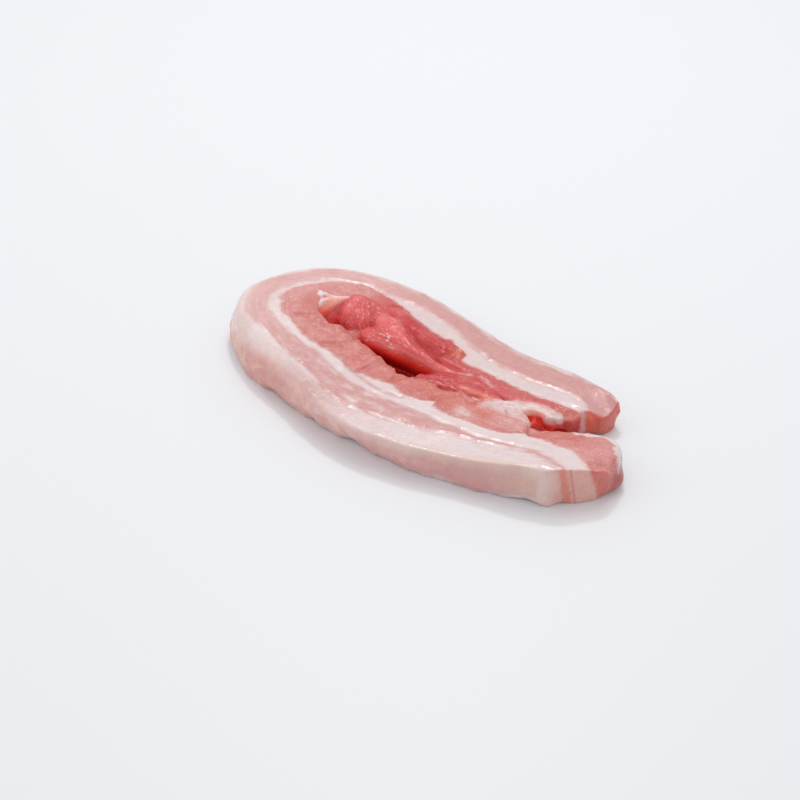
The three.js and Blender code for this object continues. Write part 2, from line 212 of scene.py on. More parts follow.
def sections(u):
    """Closed sections of the strip at u: an array (len(u), points, 3) and the way across each."""
    n = len(u)
    s = through(SECTIONS, u)
    out = unit(np.c_[s[:, 0:2] - s[:, 2:4], np.zeros(n)])
    rind = np.c_[s[:, 0:2], rind_height(u)]
    lean = np.c_[s[:, 2:4], lean_height(u)]
    rindf = np.c_[s[:, 0:2], np.zeros(n)] + out * rind_foot(u)[:, None]
    leanf = np.c_[s[:, 2:4], np.zeros(n)] + out * 0.6
    mid = 0.5 * (rindf + leanf)

    def side(a, b, away, steps=14):
        t = (np.arange(1, steps) / steps)[None, :, None]
        return a[:, None] * (1 - t) + b[:, None] * t + out[:, None] * away * SIDE_BELLY * 4 * t * (1 - t)

    def flat(a, b, steps):
        t = (np.arange(1, steps) / steps)[None, :, None]
        return a[:, None] * (1 - t) + b[:, None] * t

    foot1 = corner(mid, rindf, rind, np.full(n, FOOT_EDGE), 5)
    edge1 = corner(rindf, rind, lean, rind_edge(u), 8)
    edge2 = corner(rind, lean, leanf, np.full(n, 2.2), 6)
    foot2 = corner(lean, leanf, mid, np.full(n, FOOT_EDGE), 5)
    ring = np.concatenate([
        mid[:, None], flat(mid, foot1[:, 0], 16), foot1, side(foot1[:, -1], edge1[:, 0], 1), edge1,
        flat(edge1[:, -1], edge2[:, 0], 44), edge2, side(edge2[:, -1], foot2[:, 0], -1), foot2,
        flat(foot2[:, -1], mid, 16)], axis=1)
    span = np.linalg.norm(s[:, 0:2] - s[:, 2:4], axis=1)
    w = np.einsum("nk,nmk->nm", out, rind[:, None] * [1, 1, 0] - ring * [1, 1, 0]) / span[:, None]
    a, b = through(SECTIONS, np.minimum(LAST, u + 0.02)), through(SECTIONS, np.maximum(0, u - 0.02))
    along = unit(np.c_[a[:, 0:2] + a[:, 2:4] - b[:, 0:2] - b[:, 2:4], np.zeros(n)])
    ring = ring + along[:, None] * rear_step(u[:, None], w)[..., None]
    scoop = 0.13 * bump(w, 0, 0.10) - 0.26 * bump(w, 0.36, 0.30, 0.22) - 0.13 * ease(0.6, 0.8, w)
    ring[..., 2] *= 1 + scoop * ease(LAST - 1.3, LAST, u)[:, None]
    tuck = END_TUCK * (ease(0.05, 0.4, w) + 1.3 * ease(0.75, 1.0, w)) * ease(1.0, 0.0, u)[:, None] * (1 - np.clip(ring[..., 2] / 12, 0, 1))
    ring = ring + along[:, None] * tuck[..., None]
    return ring, out


def drawn_in(ring, distance):
    lo, hi = ring.min(0), ring.max(0)
    c = 0.5 * (lo + hi)
    wide = np.linalg.norm((ring - c)[:, :2], axis=1).max()
    high = 0.5 * (hi[2] - lo[2])
    return c + (ring - c) * [1 - distance / wide, 1 - distance / wide, 1 - distance / high]


def across(ring, wide):
    """Triangles that close a ring, laced between its upper and lower lines."""
    m, side = len(ring), ring @ wide
    first, last = int(side.argmin()), int(side.argmax())
    a = b = first
    tris = []
    while a != last or b != last:
        na, nb = (a + 1) % m, (b - 1) % m
        if b == last or (a != last and side[na] <= side[nb]):
            if a != b and na != b:
                tris.append((a, na, b))
            a = na
        else:
            if a != b and nb != a:
                tris.append((nb, b, a))
            b = nb
    return tris


def skin(rings, wide0, wide1):
    n, m = rings.shape[:2]
    i, j = np.meshgrid(np.arange(n - 1), np.arange(m), indexing="ij")
    a, b = (i * m + j).ravel(), (i * m + (j + 1) % m).ravel()
    tris = np.concatenate([np.c_[a, b, b + m], np.c_[a, b + m, a + m],
                           np.array(across(rings[0], wide0))[:, ::-1],
                           np.array(across(rings[-1], wide1)) + (n - 1) * m])
    v = rings.reshape(-1, 3)
    p, q, r = v[tris[:, 0]], v[tris[:, 1]], v[tris[:, 2]]
    if np.einsum("ij,ij->i", p, np.cross(q, r)).sum() < 0:
        tris = tris[:, ::-1]
    return v, tris


def strip():
    u = np.linspace(0, LAST, 320)
    rings, out = sections(u)

    def capped(ring, nxt):
        away = unit((ring[0] - nxt[0]) * [1, 1, 0])
        return np.array([drawn_in(ring, END_EDGE * (1 - math.sqrt(1 - t * t))) + away * END_EDGE * t
                         for t in (0.35, 0.65, 0.9, 1.0)])
    front, rear = capped(rings[0], rings[1]), capped(rings[-1], rings[-2])
    return skin(np.concatenate([front[::-1], rings, rear]), out[0], out[-1])


def new_object(name, verts, faces):
    me = bpy.data.meshes.new(name)
    me.from_pydata(verts.tolist(), [], faces.tolist())
    me.update()
    ob = bpy.data.objects.new(name, me)
    bpy.context.scene.collection.objects.link(ob)
    return ob


def mesh_arrays(me):
    v = np.empty(len(me.vertices) * 3)
    me.vertices.foreach_get("co", v)
    e = np.empty(len(me.edges) * 2, np.int32)
    me.edges.foreach_get("vertices", e)
    return v.reshape(-1, 3), e.reshape(-1, 2)


def normals(me):
    n = np.empty(len(me.vertices) * 3)
    me.vertex_normals.foreach_get("vector", n)
    return n.reshape(-1, 3)


def neighbour_mean(x, e, n):
    deg = np.bincount(e.ravel(), minlength=n)
    x2 = x if x.ndim == 2 else x[:, None]
    m = np.stack([np.bincount(e[:, 0], x2[e[:, 1], k], n) + np.bincount(e[:, 1], x2[e[:, 0], k], n)
                  for k in range(x2.shape[1])], 1) / np.maximum(deg, 1)[:, None]
    return m if x.ndim == 2 else m[:, 0]


def smoothed(v, e, rounds, keep=0.5, back=-0.52):
    for _ in range(rounds):
        v = v + keep * (neighbour_mean(v, e, len(v)) - v)
        v = v + back * (neighbour_mean(v, e, len(v)) - v)
    return v


# ------------------------------------------------------------------ layers, (section, share of the way from rind to lean)
FAT_TO_PALE = np.array([
    (0, .285), (.4, .275), (1, .30), (1.3, .36), (1.6, .41), (2, .425), (2.5, .42), (2.8, .40), (3, .365), (3.3, .315),
    (3.6, .30), (4, .27), (4.3, .23), (4.6, .215), (5, .22), (5.5, .24), (6, .24), (6.5, .235), (7, .22), (7.3, .175),
    (7.6, .145), (8, .13), (9, .125), (9.5, .115), (10, .105), (12, .085), (14, .065), (15, .07), (15.5, .09), (16, .09),
    (16.5, .06), (17, .03), (18, .01)])
PALE_TO_FAT = np.array([
    (0, .36), (.4, .335), (1, .352), (1.3, .41), (1.6, .46), (2, .505), (2.5, .51), (3, .545), (3.5, .56), (4, .535),
    (4.5, .545), (5, .54), (5.3, .52), (5.6, .505), (6, .50), (6.5, .48), (7, .455), (7.5, .42), (8, .385), (8.5, .40),
    (9, .41), (9.5, .445), (10, .47), (10.5, .485), (11, .45), (11.5, .42), (12, .385), (12.4, .42), (12.7, .43),
    (13, .37), (13.5, .33), (14, .36), (14.3, .45), (14.6, .47), (15, .49), (15.5, .49), (16, .465), (16.5, .44),
    (17, .455), (17.6, .50), (18, .61)])
FAT_TO_RED = np.array([
    (0, .69), (.3, .61), (.6, .575), (1, .575), (1.3, .60), (1.6, .68), (1.9, .755), (2.08, .80), (2.2, .785), (2.32, .735), (2.45, .69), (2.6, .68),
    (3.0, .69), (3.4, .69), (3.6, .71), (3.68, .80), (3.76, .735), (3.9, .705), (4.1, .70), (4.35, .735), (4.55, .775),
    (4.75, .735), (5.0, .71), (5.15, .69), (5.3, .645), (5.6, .635), (6, .635), (6.3, .585), (6.7, .555), (7, .56),
    (7.4, .575), (7.7, .585), (7.9, .545), (8.2, .55), (8.5, .55), (8.7, .515), (9, .495), (9.5, .515), (10, .55),
    (10.4, .575), (10.8, .545), (11, .53), (11.5, .47), (12, .43), (12.4, .465), (12.7, .515), (13, .56), (13.3, .62),
    (13.6, .63), (13.9, .61), (14.05, .55), (14.3, .66), (14.55, .80), (14.8, .79), (15, .76), (15.5, .73), (16, .71),
    (16.5, .74), (17, .75), (17.6, .77), (18, .74)])
VALLEYS = np.array([-0.5, 3.68, 4.56, 5.22, 6.25, 7.8])    # between the scallops of the front leg's lean


def to_line(p, line):
    """Distance of plan points from a line of points, and how far along it they lie, 0 to 1."""
    best, at = np.full(len(p), 1e9), np.zeros(len(p))
    length = np.linalg.norm(np.diff(line, axis=0), axis=1)
    total, done = length.sum(), 0.0
    for k in range(len(line) - 1):
        a, d = line[k], line[k + 1] - line[k]
        t = np.clip(((p - a) @ d) / (d @ d), 0, 1)
        dist = np.linalg.norm(p - a - t[:, None] * d, axis=1)
        near = dist < best
        best, at = np.where(near, dist, best), np.where(near, (done + t * length[k]) / total, at)
        done += length[k]
    return best, at


def beside(p, line):
    """Way along a line of points in mm, and the distance to its left."""
    gap, at = to_line(p, line)
    length = np.linalg.norm(np.diff(line, axis=0), axis=1).sum()
    k = np.clip((at * (len(line) - 1)).astype(int), 0, len(line) - 2)
    d = line[k + 1] - line[k]
    q = p - line[k]
    return at * length, gap * np.where(d[:, 0] * q[:, 1] - d[:, 1] * q[:, 0] < 0, -1, 1)


def nearest(points, values, query):
    """For each query point the distance to the nearest of points, and its value."""
    tree = KDTree(len(points))
    for k, q in enumerate(points.tolist()):
        tree.insert(q, k)
    tree.balance()
    found = [tree.find(q) for q in query.tolist()]
    idx = np.array([f[1] for f in found])
    return np.array([f[2] for f in found]), (values[idx] if values is not None else idx)


_u = np.linspace(0, LAST, 1801)
_s = through(SECTIONS, _u)
ALONG = np.r_[0, np.cumsum(np.linalg.norm(np.diff(0.5 * (_s[:, 0:2] + _s[:, 2:4]), axis=0), axis=1))]


def strip_place(p, u):
    """Section u and share w from rind to lean of points, starting from a near u."""
    for _ in range(6):
        def off(x):
            s = through(SECTIONS, np.clip(x, 0, LAST))
            d = s[:, 2:4] - s[:, 0:2]
            q = p[:, :2] - s[:, 0:2]
            return (q[:, 0] * d[:, 1] - q[:, 1] * d[:, 0]) / np.linalg.norm(d, axis=1)
        f = off(u)
        g = (off(u + 0.01) - off(u - 0.01)) / 0.02
        step = np.clip(-f / np.where(np.abs(g) < 1e-3, 1e-3, g), -0.2, 0.2)
        u = np.clip(u + step, 0, LAST)
    s = through(SECTIONS, u)
    d = s[:, 2:4] - s[:, 0:2]
    wide = np.linalg.norm(d, axis=1)
    w = ((p[:, :2] - s[:, 0:2]) * d).sum(1) / wide**2
    shift = rind_foot(u) / wide * (1 - np.clip(p[:, 2] / rind_height(u), 0, 1))
    return u, (w + shift) / (1 + shift), wide


def layer(table, u):
    return np.interp(u, table[:, 0], table[:, 1])


# ------------------------------------------------------------------ the slice's mesh
def spindle(p, rows, power=2.3):
    """Distance in mm, about, from a fold laid along the rows."""
    line = through(rows, np.linspace(0, len(rows) - 1, 3 * (len(rows) - 1) + 1))
    d, t = to_line(p[:, :2], line[:, :2])
    at = np.r_[0, np.cumsum(np.linalg.norm(np.diff(line[:, :2], axis=0), axis=1))]
    half, top, under = (np.interp(t, at / at[-1], line[:, k]) for k in (2, 3, 4))
    mid, tall = 0.5 * (top + under), 0.5 * (top - under)
    r = ((d / half)**power + np.abs((p[:, 2] - mid) / tall)**power)**(1 / power)
    return (r - 1) * np.minimum(half, tall)


def blob(p, x, y, radius, top):
    tall = 4.0
    r = np.sqrt(((p[:, 0] - x) / radius)**2 + ((p[:, 1] - y) / radius)**2 + ((p[:, 2] - top + tall) / tall)**2)
    return (r - 1) * min(radius, tall)


def soft_min(a, b, k):
    h = np.clip(0.5 + 0.5 * (b - a) / k, 0, 1)
    return b * (1 - h) + a * h - k * h * (1 - h)


AWAY = 8.0


def fold_field(name, p):
    """Distance from a fold at points p, with its torn or wrinkled surface."""
    rows = FOLDS[name]
    reach = rows[:, 2].max() + 3
    d = np.full(len(p), AWAY)
    inside = ((p[:, :2] > rows[:, :2].min(0) - reach) & (p[:, :2] < rows[:, :2].max(0) + reach)).all(1)
    d[inside] = np.minimum(spindle(p[inside], rows, 4.0 if name in ("thin", "membrane", "hem", "fill") else 2.3), AWAY)
    close = np.abs(d) < 2.2
    q = p[close]
    if name == "second":
        d[close] += (0.6 * perlin(q / 2.6, 61) + 0.35 * perlin(q / 1.2, 62)) * (0.25 + 0.75 * ease(-9, 1, q[:, 0]))
    elif name in ("membrane", "hem"):
        lie = np.c_[q @ [0.80, 0.60, 0], q @ [-0.60, 0.80, 0], q[:, 2]]
        d[close] += (0.30 if name == "membrane" else 0.15) * perlin(lie / [6.0, 1.5, 3.0], 96) + 0.15 * perlin(q / 3.0, 99)
    elif name == "raw":
        d[close] += 0.9 * perlin(q / 2.4, 98)
    elif name == "lobe":
        d[close] += 0.4 * perlin(q / 4.6, 92)
    elif name == "bundle":
        d[close] += 0.55 * perlin(q / 3.8, 93)
    elif name == "wall":
        d[close] += 0.22 * perlin(q / 7.0, 94)
    elif name == "thin":
        d[close] += 0.3 * perlin(q / 4.0, 95)
    return d


def gaussian(a, sigma):
    r = int(3 * sigma)
    k = np.exp(-0.5 * (np.arange(-r, r + 1) / sigma)**2)
    k = (k / k.sum()).astype(np.float32)
    for axis in range(3):
        pad = [(r, r) if x == axis else (0, 0) for x in range(3)]
        b = np.pad(a, pad, mode="edge")
        n = a.shape[axis]
        a = sum(k[m] * b[tuple(slice(m, m + n) if x == axis else slice(None) for x in range(3))] for m in range(2 * r + 1))
    return a


def sample(field, lo, p):
    """Field's value at points p."""
    q = p / VOXEL - lo
    c = np.clip(np.floor(q).astype(int), 0, np.array(field.shape) - 2)
    f = np.clip(q - c, 0, 1)
    total = 0.0
    for dx in (0, 1):
        for dy in (0, 1):
            for dz in (0, 1):
                wgt = (f[:, 0] if dx else 1 - f[:, 0]) * (f[:, 1] if dy else 1 - f[:, 1]) * (f[:, 2] if dz else 1 - f[:, 2])
                total = total + wgt * field[c[:, 0] + dx, c[:, 1] + dy, c[:, 2] + dz]
    return total


def thinned(me, under, faces):
    """The mesh with its flat underside in larger faces, at most about so many triangles in all."""
    ob = bpy.data.objects.new("thin", me)
    bpy.context.scene.collection.objects.link(ob)
    ob.vertex_groups.new(name="under").add(under.tolist(), 1.0, "REPLACE")
    m = ob.modifiers.new("thin", "DECIMATE")
    m.vertex_group, m.vertex_group_factor = "under", 10.0
    m.ratio = min(1.0, faces / (2 * len(me.polygons)))
    out = bpy.data.meshes.new_from_object(ob.evaluated_get(bpy.context.evaluated_depsgraph_get()))
    bpy.data.objects.remove(ob)
    bpy.data.meshes.remove(me)
    return out


BAND = 12


def distances(verts, tris):
    """Signed distance from a closed skin on a grid, and the grid's first cell."""
    lo = np.floor(verts.min(0) / VOXEL).astype(int) - 8
    shape = np.ceil(verts.max(0) / VOXEL).astype(int) + 9 - lo
    grid = vdb.FloatGrid.createLevelSetFromPolygons(
        points=verts.astype(np.float32), triangles=tris.astype(np.uint32),
        transform=vdb.createLinearTransform(voxelSize=VOXEL), halfWidth=BAND)
    values = np.empty(tuple(shape), np.float32)
    grid.copyToArray(values, ijk=tuple(int(k) for k in lo))
    return values, lo


def skin_of(values, lo):
    """Skin of a grid of distances in one shell, its faces turned outwards."""
    grid = vdb.FloatGrid(float(BAND * VOXEL))
    grid.copyFromArray(values, ijk=tuple(int(k) for k in lo))
    grid.transform = vdb.createLinearTransform(voxelSize=VOXEL)
    verts, quads = grid.convertToQuads(0.0)
    a, b, c = verts[quads[:, 0]], verts[quads[:, 1]], verts[quads[:, 2]]
    if np.einsum("ij,ij->i", a, np.cross(b, c)).sum() < 0:
        quads = quads[:, ::-1]
    quads = np.array(quads).astype(np.int64)
    ends = np.concatenate([quads[:, [k, k + 1]] for k in range(3)])
    shell = np.arange(len(verts))
    while True:
        low = np.minimum(shell[ends[:, 0]], shell[ends[:, 1]])
        joined = shell.copy()
        for k in (0, 1):
            np.minimum.at(joined, shell[ends[:, k]], low)
            np.minimum.at(joined, ends[:, k], low)
        joined = joined[joined]
        if np.array_equal(joined, shell):
            break
        shell = joined
    keep = shell == np.bincount(shell).argmax()
    return np.array(verts)[keep], (np.cumsum(keep) - 1)[quads[keep[quads[:, 0]]]]


field, lo = distances(*strip())
shape = field.shape
axes = [(np.arange(shape[k]) + lo[k]) * VOXEL for k in range(3)]
gx, gy = np.meshgrid(axes[0], axes[1], indexing="ij")

# corners of the cut ends are worn round
worn = np.maximum.reduce([a * np.exp(-(((gx - x) / r)**2 + ((gy - y) / r)**2)) for x, y, r, a in
                          ((64.4, -25.2, 5.5, 0.9), (77.0, 9.0, 5.0, 0.7), (52.0, 12.8, 3.0, 0.7), (61.8, 18.6, 4.6, 1.0), (81.6, -5.6, 4.0, 0.8))])
far = axes[0] > 40
part_field = field[far]
field[far] = part_field + (gaussian(part_field, 2.6 / VOXEL) - part_field) * np.clip(worn[far], 0, 1)[..., None]
for x, y, r, t, k in LUMPS:
    near = np.ix_(*[(axes[n] > c - r - 2.5) & (axes[n] < c + r + 2.5) for n, c in ((0, x), (1, y))], axes[2] > -1)
    at = np.stack(np.meshgrid(*[axes[n][near[n].ravel()] for n in range(3)], indexing="ij"), -1).reshape(-1, 3)
    field[near] = soft_min(field[near], blob(at, x, y, r, t).reshape(field[near].shape), k)
# the front leg's lean steps down past its third scallop
near = np.ix_((axes[0] > 38) & (axes[0] < 74), (axes[1] > -14) & (axes[1] < 14), axes[2] > -1)
px, py = np.meshgrid(axes[0][near[0].ravel()], axes[1][near[1].ravel()], indexing="ij")
flat_p = np.c_[px.ravel(), py.ravel(), np.full(px.size, 12.0)]
pu, pw, _ = strip_place(flat_p, np.full(px.size, 2.0))
line = 2.19 + 1.55 * (np.clip(pw, 0.70, 1.04) - 0.806)
drop = 2.6 * ease(line + 0.05, line - 0.03, pu) * ease(1.2, 2.5, pu) * ease(0.70, 0.90, pw)
top = (rind_height(pu) * (1 - pw) + lean_height(pu) * pw - drop).reshape(px.shape)
cut = np.where((drop.reshape(px.shape) > 0.03)[..., None], axes[2][near[2].ravel()] - top[..., None], -AWAY)
field[near] = np.maximum(field[near], cut)
strip_field = field.copy()

# folds and the sloping end of the crevice
ix = (axes[0] > -64) & (axes[0] < 58)
iy = (axes[1] > -12) & (axes[1] < 33)
iz = axes[2] > -0.6
box = np.ix_(ix, iy, iz)
cells = np.stack(np.meshgrid(axes[0][ix], axes[1][iy], axes[2][iz], indexing="ij"), -1).reshape(-1, 3)
here = field[box].reshape(-1).astype(float)
bay = (cells[:, 0] < -43) & (cells[:, 1] > 2.5) & (here < 7)
c = cells[bay]
from_rim = np.maximum(to_line(c[:, :2], RIM)[0] - 1.5, 0)
slope = (c[:, 2] - (13.8 - 1.35 * from_rim)) / 1.68 + 0.35 * perlin(c / 2.6, 44) + 4 * np.maximum(-here[bay], 0)
slope += 6 * ease(-47.5, -43.5, c[:, 0])
here[bay] = soft_min(here[bay], slope, 0.6)
for name in FOLDS:
    here = soft_min(here, fold_field(name, cells), BLEND[name])
field[box] = here.reshape(field[box].shape)

# torn edge of the front leg along the crevice, uneven foot of the rind
near_skin = np.argwhere(np.abs(field) < 1.6)
pts = (near_skin + lo) * VOXEL
inner = np.interp(pts[:, 0], SECTIONS[8:1:-1, 2], SECTIONS[8:1:-1, 3])
torn = np.exp(-((pts[:, 1] - inner - 0.3) / 3.6)**2) * ease(-52, -46, pts[:, 0]) * ease(52, 44, pts[:, 0])
foot = ease(5.5, 1.0, pts[:, 2]) * np.maximum.reduce([ease(-18, -26, pts[:, 1] - 0.10 * np.abs(pts[:, 0])), 0.8 * ease(27, 31, pts[:, 1]), 0.8 * ease(-66, -72, pts[:, 0])])
use = torn + foot > 0.02
near_skin, pts, torn, foot = near_skin[use], pts[use], torn[use], foot[use]
rough = 0.15 + 0.65 * ease(-26, -12, pts[:, 0])
shift = torn * ((0.3 + 0.7 * rough) * 0.9 * perlin(pts / 5.0, 54) + rough * (0.45 * perlin(pts / 2.2, 55) + 0.20 * perlin(pts / 1.15, 56))) + foot * (0.85 * perlin(pts / [8.0, 8.0, 12.0], 57) + 0.25 * perlin(pts / [3.6, 3.6, 6.0], 58))
field[tuple(near_skin.T)] += shift.astype(np.float32)
v, quads = skin_of(field, lo)
me = bpy.data.meshes.new("belly_slice")
me.from_pydata(v.tolist(), [], quads.tolist())
me.update()
v, e = mesh_arrays(me)
v = smoothed(v, e, 3)
v[:, 2] = np.maximum(v[:, 2], 0.0)
me.vertices.foreach_set("co", v.ravel())
me.update()
me = thinned(me, np.nonzero(v[:, 2] < 0.12)[0], SKIN_FACES)
v, e = mesh_arrays(me)
count = len(v)

# where each point lies
seed_u = np.linspace(0, LAST, 361)
seed_s = through(SECTIONS, seed_u)
seed_w = np.linspace(0, 1, 7)
seeds = np.concatenate([np.c_[seed_s[:, 0:2] * (1 - k) + seed_s[:, 2:4] * k, np.zeros(len(seed_u))] for k in seed_w])
_, u = nearest(seeds, np.tile(seed_u, len(seed_w)), v * [1, 1, 0])
u, w, wide = strip_place(v, u)
names = ["strip"] + list(FOLDS)
dist = np.stack([sample(strip_field, lo, v)] + [fold_field(k, v) for k in FOLDS], 1)
dist[:, 0] = np.where(v[:, 2] < 1.0, np.minimum(dist[:, 0], 0.5), dist[:, 0])
member = np.exp(-np.maximum(dist - dist.min(1, keepdims=True), 0) / 0.3)
member /= member.sum(1, keepdims=True)
for _ in range(2):
    member = 0.5 * member + 0.5 * neighbour_mean(member, e, count)
on = dict(zip(names, member.T))
on_strip, on_thin = on["strip"], on["thin"]
on_muscle = on["lobe"] + on["bundle"] + on["wall"] + on["mass"]
on_fat = on["membrane"]
on_bed = on["bed"] + on["raw"] + on["fill"]
along = np.interp(u, _u, ALONG)
me.vertices.foreach_set("co", v.ravel())
me.update()
nrm = normals(me)
up_face = ease(0.15, 0.7, nrm[:, 2])
plan = v[:, :2]

# distances from the layers' borders, mm, positive towards the lean
warp = 0.75 * fbm(v / 5.0, 2, 3) + 0.12 * perlin(v / 1.6, 9)
lean_out = wide * ease(0.7, 0.0, u) * (1 - np.clip(v[:, 2] / 14, 0, 1))       # the layers lean outwards down the front cut end
warp = warp * (0.35 + 0.65 * ease(0.0, 0.6, u))
d1 = (w - layer(FAT_TO_PALE, u)) * wide + warp - 0.12 * lean_out
d2 = (w - layer(PALE_TO_FAT, u)) * wide + 0.8 * warp - 0.12 * lean_out + 0.5 * perlin(v / 4.0, 21)
d3 = (w - layer(FAT_TO_RED, u)) * wide + 0.6 * warp - 0.18 * lean_out + 0.4 * perlin(v / 2.5, 33)

def near_line(points, width):
    gap, _ = to_line(plan, np.array(points))
    return np.exp(-(gap / width)**2)


# ---- relief
rise = np.zeros(count)
lean_red = ease(-0.6, 0.9, d3) * on_strip
lean_pale = ease(-0.6, 0.9, d1) * (1 - ease(-0.9, 0.6, d2)) * on_strip
rise += up_face * (0.32 * lean_red + 0.22 * lean_pale)
rise -= up_face * on_strip * (0.16 * np.exp(-(d3 / 0.8)**2) + 0.12 * np.exp(-(d1 / 0.8)**2))
rise -= up_face * on_strip * np.exp(-((d2 - 0.3) / 0.9)**2) * (0.12 + 0.25 * bump(u, 2.3, 1.0))
# scallops of the front leg's lean, and its ragged edge along the crevice
front = 1 - ease(8.3, 9.2, u)
for at in VALLEYS:
    gap = np.abs(along - np.interp(at, _u, ALONG) + 2.2 * perlin(v / 6.0, 41))
    deep = np.exp(-(gap / 1.5)**2) * ease(-1.5, 2.5, d3) * (1 - 0.65 * ease(4, 11, d3))
    rise -= up_face * on_strip * front * 1.05 * deep
edge = ease(0.80, 0.97, w) * on_strip * (1 - ease(16.4, 17.4, u))
in_two = on["second"]
# grain
rise += up_face * on_strip * (0.20 * perlin(v / 7.0, 71) + 0.06 * perlin(v / 2.6, 72))
rise += lean_red * (0.10 * perlin(v / 1.9, 74) + 0.34 * perlin(v / 4.2, 75)) * up_face
roll = 0.03 * bump(u, 9.8, 2.4, 3.0) - 0.05 * bump(u, 5.9, 0.9)
side = ease(0.035 - roll, -0.02 - roll, w) * on_strip
rise += side * (0.80 * perlin(v / 8.0, 81) + 0.32 * perlin(v / 3.6, 82))
ends = on_strip * np.maximum(ease(0.06, 0.0, u), ease(LAST - 0.06, LAST, u))
rise += ends * 0.10 * perlin(v / 1.6, 84)
rise += up_face * on_strip * ease(0.74, 0.88, w) * bump(u, 7.0, 1.5) * 0.65 * perlin(v / 5.5, 76)
brink = up_face * on_strip * near_line([(-50.0, 0.5), (-46.5, 0.6), (-40.0, -0.6), (-33.0, -1.6), (-26.5, -3.6), (-20.0, -5.8)], 2.6)
rise += brink * (0.40 * perlin(v / 3.0, 85) + 0.18 * perlin(v / 1.4, 86))
beads = up_face * on_strip * ease(0.24, 0.10, w) * (0.35 + 0.65 * bump(u, 4.4, 1.6))
rise += beads * (0.20 * perlin(v / 2.6, 77) + 0.07 * perlin(v / 1.3, 78)) * (0.3 + 0.7 * ease(-0.2, 0.4, perlin(v / 9.0, 80)))
rise += side * 0.22 * perlin(np.c_[along / 3.4, v[:, 2] / 9.0, w * 4.0], 79)
# folds: fibres along them
fibre = np.c_[along, w * wide, v[:, 2]]
best = np.full(count, 0.5)
for name in ("mass", "lobe", "bundle", "wall", "second", "thin", "membrane", "hem"):
    way, left = beside(plan, FOLDS[name][:, :2])
    lie = np.c_[way, left, v[:, 2]]
    rise += on[name] * {"wall": 0.03, "thin": 0.05, "membrane": 0.22, "hem": 0.16}.get(name, 0.10) * perlin(lie / [7.0, 1.0, 1.2], 91)
    fibre = np.where((on[name] > best)[:, None], lie, fibre)
rise += (on_muscle + in_two) * 0.07 * perlin(v / 1.3, 93)
shred = np.maximum.reduce([near_line([(-58.3, 14.6), (-55.7, 12.2), (-54.5, 9.6), (-51.9, 8.2), (-50.0, 7.4)], 1.0),
                           0.9 * near_line([(-57.9, 13.4), (-55.7, 15.2), (-52.9, 16.8), (-48.6, 19.7), (-45.8, 22.6)], 0.75),
                           0.7 * near_line([(-56.5, 13.6), (-54.0, 12.8)], 1.0)])
shred = np.clip(1.3 * shred + 0.6 * perlin(v / 2.0, 102) + 0.35 * perlin(v / 1.1, 103) - 0.35, 0, 1) * ease(11.8, 13.2, v[:, 2])
rise += 0.35 * shred * (1 - on_muscle)
low = ease(0.2, 1.4, v[:, 2])
fold_line = np.maximum(near_line([(-24.0, -14.6), (-20.6, -16.0), (-15.5, -16.6), (-8.9, -18.1), (-3.2, -18.2), (3.0, -16.8)], 0.75),
                       0.6 * near_line([(-30.5, -17.0), (-24.0, -19.6), (-17.5, -22.4)], 0.6)) * np.clip(0.75 + 0.5 * perlin(v / 4.0, 114), 0, 1)
rise -= 0.5 * fold_line * up_face * on_strip
rise *= low
for _ in range(1):
    rise = 0.6 * rise + 0.4 * neighbour_mean(rise, e, count)
v = v + nrm * rise[:, None]
v[:, 2] = np.maximum(v[:, 2], 0.0)
OFFSET = np.array([-0.115, -0.964, 0.0])       # the outline's middle stands over the origin
me.vertices.foreach_set("co", ((v + OFFSET) * MM).ravel())
me.update()
me.polygons.foreach_set("use_smooth", np.ones(len(me.polygons), bool))


def store(name, *columns):
    a = me.attributes.new(name, "FLOAT_VECTOR", "POINT")
    a.data.foreach_set("vector", np.stack(columns, 1).astype(np.float32).ravel())


x, y, z = v.T
in_crevice = np.clip(on_muscle + on_thin + on_bed + on_fat + on_strip * ease(0.97, 1.02, w), 0, 1)
in_bay = ease(-44.0, -47.0, x) * np.clip(1 - on_muscle, 0, 1) * ease(0.95, 1.02, w)
# painted shade in the crevice: its surfaces turn a glowing red (painted light through the flesh), then near-black red,
# towards its bottom
deep = in_crevice * (ease(12.0, 4.0, z) * (1 - in_bay) + 0.6 * ease(7.5, 3.5, z) * in_bay) * (1 - 0.9 * on["raw"]) * (1 - 0.6 * on["fill"])
deep *= 1 - 0.7 * on["lobe"] * ease(7.0, 10.0, z)
deep *= ease(54.0, 48.0, x) * (1 - 0.5 * ease(36.0, 40.0, x) * ease(5.5, 7.5, z))
rear_lean = ease(11.6, 12.6, u) * ease(0.0, 1.0, d3) * on_strip * ease(17.9, 17.2, u)
dark = np.clip(on_muscle + 0.85 * on_thin + on["bed"] + in_two + 0.55 * rear_lean, 0, 1)
broken = 0.5 + 0.9 * perlin(v / 2.0, 101)
# white fat: shreds, rims and membranes, with painted glints and painted light mixed in on some lines below
white_fat_and_painted_light = shred * (1 - 0.6 * on_muscle)
white_fat_and_painted_light = np.maximum(white_fat_and_painted_light, 0.10 * in_bay * on_strip * ease(12.3, 13.6, z + 0.8 * perlin(v / 1.8, 110)) * ease(-50.5, -54.0, x))
white_fat_and_painted_light = np.maximum(white_fat_and_painted_light, 0.8 * near_line([(-42.6, 23.4), (-37.0, 21.8), (-33.2, 20.6)], 0.45) * broken)
white_fat_and_painted_light = np.maximum(white_fat_and_painted_light, 0.5 * near_line([(-14.2, 11.4), (-2.4, 8.6), (3.3, 6.8), (7.6, 7.0), (13.4, 10.5)], 0.45) * broken * up_face)
white_fat_and_painted_light = np.maximum(white_fat_and_painted_light, 0.6 * near_line([(26.2, 7.7), (31.3, 5.7)], 0.6) * broken * up_face)
